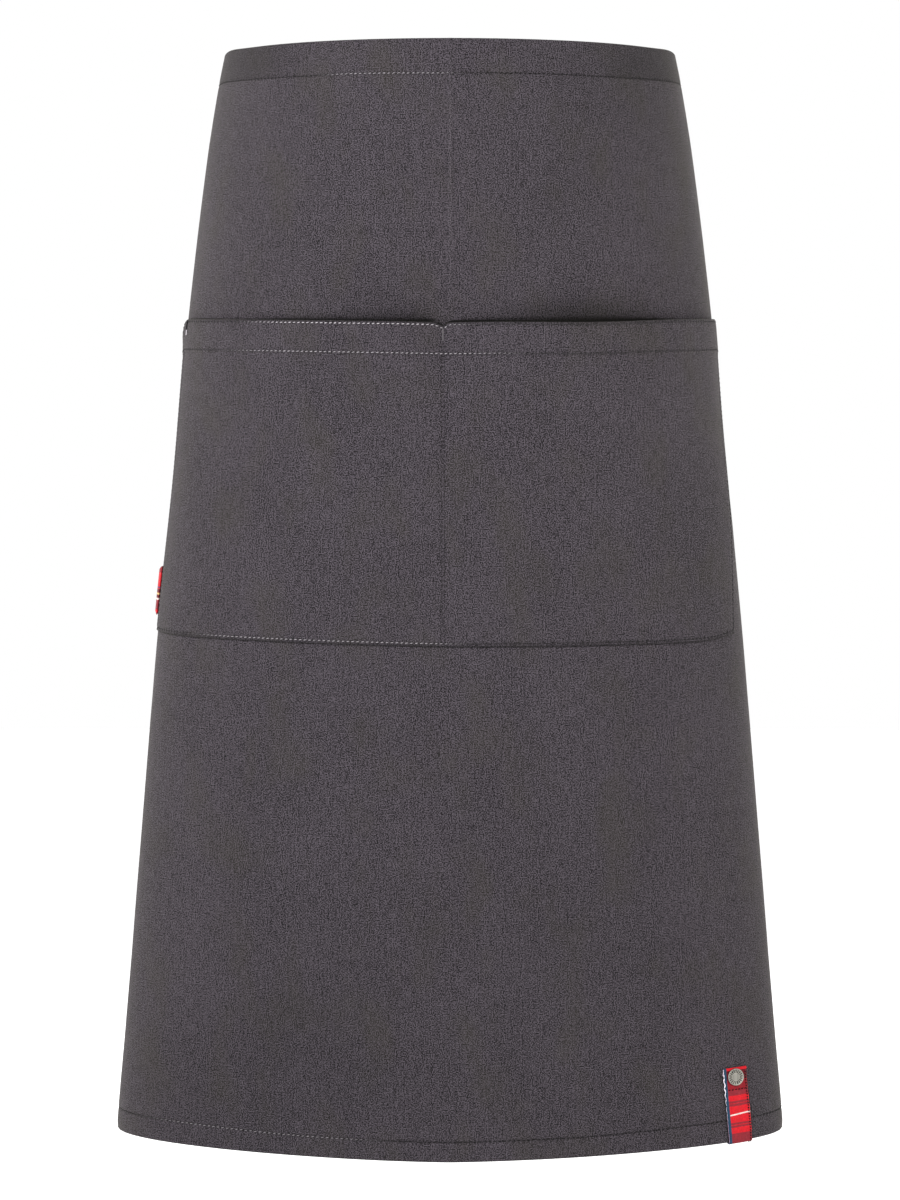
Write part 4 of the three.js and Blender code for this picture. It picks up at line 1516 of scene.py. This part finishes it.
def make_knot():
    centre = np.array([0, back_line(TIE_MIDDLE) + TIE_OUT - TIE_WALL / 2, -TIE_MIDDLE])
    points = np.concatenate([wrap_points(rows, centre) for rows in (KNOT_CROSS, KNOT_OVER)])
    knot = make_object("tie_knot_wraps", points, tube_faces(2, WRAP_STEPS, WRAP_SIDES), CLOTH)
    add_map(knot, CLOTH_MAP, points[:, [0, 2]])
    return ride(knot, "apron_cloth", "tie_knot")


def make_tape_stitches():
    half = TIE_WIDTH / 2 - TIE_EDGE_STITCH
    lines = []
    for side in (-1, 1):
        down = np.linspace(8, TAIL_LENGTH - TIE_EDGE_STITCH, 200)
        wide = np.linspace(half, -half, 40)
        surface = tail_point(side)
        for offset in (-half, half):
            lines.append(stitch_run(surface, offset, down, TIE_WALL / 2, dull, face=-1))
        lines.append(stitch_run(surface, wide, TAIL_LENGTH - TIE_EDGE_STITCH, TIE_WALL / 2, dull, face=-1))
    return ride(make_stitches("tape_stitches", lines), "apron_cloth")


hem_tab = make_hem_tab()
tab_stitches = make_tab_stitches()
selvage = make_selvage()
side_tag = make_side_tag()
make_stud()
make_stud_back()
tapes = [make_tie("tape_left", -1, "tie_left"), make_tie("tape_right", 1, "tie_right")]
knot = make_knot()
tape_ends = [make_tail("tape_end_left", -1), make_tail("tape_end_right", 1)]
make_tape_stitches()

panel = make_panel()
panel_stitches = make_panel_stitches()
pocket = make_pocket()
pocket_stitches = make_pocket_stitches()
bar_tacks = make_bar_tacks()


# Camera, light and floor
CAMERA_PLACE = (-0.00002, -2.9885, -0.31515)
CAMERA_PITCH = -1.71836
CAMERA_LENS = 120.0
FLOOR_LEVEL = -1.06


def make_camera():
    data = bpy.data.cameras.new("camera")
    data.lens = CAMERA_LENS
    data.sensor_width = 36.0
    camera = bpy.data.objects.new("camera", data)
    camera.location = CAMERA_PLACE
    camera.rotation_euler = (math.radians(90 + CAMERA_PITCH), 0, 0)
    bpy.context.scene.collection.objects.link(camera)
    bpy.context.scene.camera = camera


NEUTRAL = (1.0, 1.0, 1.0)
WARM = (1.0, 0.96, 0.86)
LIGHTS = [
    # name, place, aimed at, width, height, power, colour
    ("key_left", (-1.0, -1.7, 0.55), (0, 0, -0.15), 0.8, 0.8, 25, NEUTRAL),
    ("key_right", (0.8, -1.8, 0.45), (0, 0, -0.20), 0.8, 0.8, 16, WARM),
    ("rim_left", (-2.2, 0.5, -0.15), (0, 0, -0.30), 0.8, 1.4, 17, WARM),
    ("rim_right", (2.1, 0.3, -0.75), (0, 0, -0.50), 0.6, 0.8, 8, WARM),
    ("back", (0.6, 2.6, 0.8), (0, 0, -0.40), 1.6, 1.8, 24, NEUTRAL),
]


def make_lights():
    for name, place, target, width, height, power, colour in LIGHTS:
        data = bpy.data.lights.new(name, "AREA")
        data.shape = "RECTANGLE"
        data.size, data.size_y = width, height
        data.energy = power
        data.color = colour
        light = bpy.data.objects.new(name, data)
        light.location = place
        light.rotation_euler = (Vector(target) - Vector(place)).to_track_quat("-Z", "Y").to_euler()
        bpy.context.scene.collection.objects.link(light)


# White walls round the studio under a darker ceiling, by the height of a direction over the level one
WALL_LIGHT = 1.0
CEILING_LIGHT = 0.35
WALL_TOP = 0.30
CEILING_START = 0.60


def make_world():
    world = bpy.data.worlds.new("studio")
    world.use_nodes = True
    tree = world.node_tree
    background = tree.nodes["Background"]
    split = tree.nodes.new("ShaderNodeSeparateXYZ")
    height = tree.nodes.new("ShaderNodeMapRange")
    for key, value in (
        ("From Min", WALL_TOP), ("From Max", CEILING_START),
        ("To Min", WALL_LIGHT), ("To Max", CEILING_LIGHT),
    ):
        height.inputs[key].default_value = value
    tree.links.new(tree.nodes.new("ShaderNodeTexCoord").outputs["Generated"], split.inputs[0])
    tree.links.new(split.outputs["Z"], height.inputs["Value"])
    tree.links.new(height.outputs["Result"], background.inputs["Strength"])
    background.inputs["Color"].default_value = (1, 1, 1, 1)
    bpy.context.scene.world = world
    bpy.context.scene.view_settings.view_transform = "Standard"


# The floor grows lighter between two distances from the middle, until it is as white as the walls
FLOOR_MIDDLE = (0, -0.5, FLOOR_LEVEL)
FLOOR_NEAR = 0.8
FLOOR_FAR = 1.6
FLOOR_GLOW = 0.7
FLOOR_SIDES = 96
FLOOR_RADIUS = 9000


def make_floor():
    shader = Shader("floor_pale")
    place = shader.body_place()
    grain = shader.noise(place, 3.0)
    colour = shader.mix(grain, (0.78, 0.78, 0.78, 1), (0.82, 0.82, 0.82, 1))
    away = shader.add("ShaderNodeVectorMath", {"operation": "DISTANCE"}, _0=place, _1=FLOOR_MIDDLE)
    ends = {"From_Min": FLOOR_NEAR, "From_Max": FLOOR_FAR, "To_Max": FLOOR_GLOW}
    glow = shader.ramp(away.outputs["Value"], **ends)
    material = shader.finish(colour, 0.8, Emission_Color=(1, 1, 1, 1), Emission_Strength=glow)
    cosine, sine = circle(FLOOR_SIDES)
    level = np.full(FLOOR_SIDES, FLOOR_LEVEL / MM)
    rim = np.stack([FLOOR_RADIUS * cosine, FLOOR_RADIUS * sine, level], -1)
    floor = make_object("floor", rim, [list(range(FLOOR_SIDES))], material)


make_camera()
make_lights()
make_world()
make_floor()
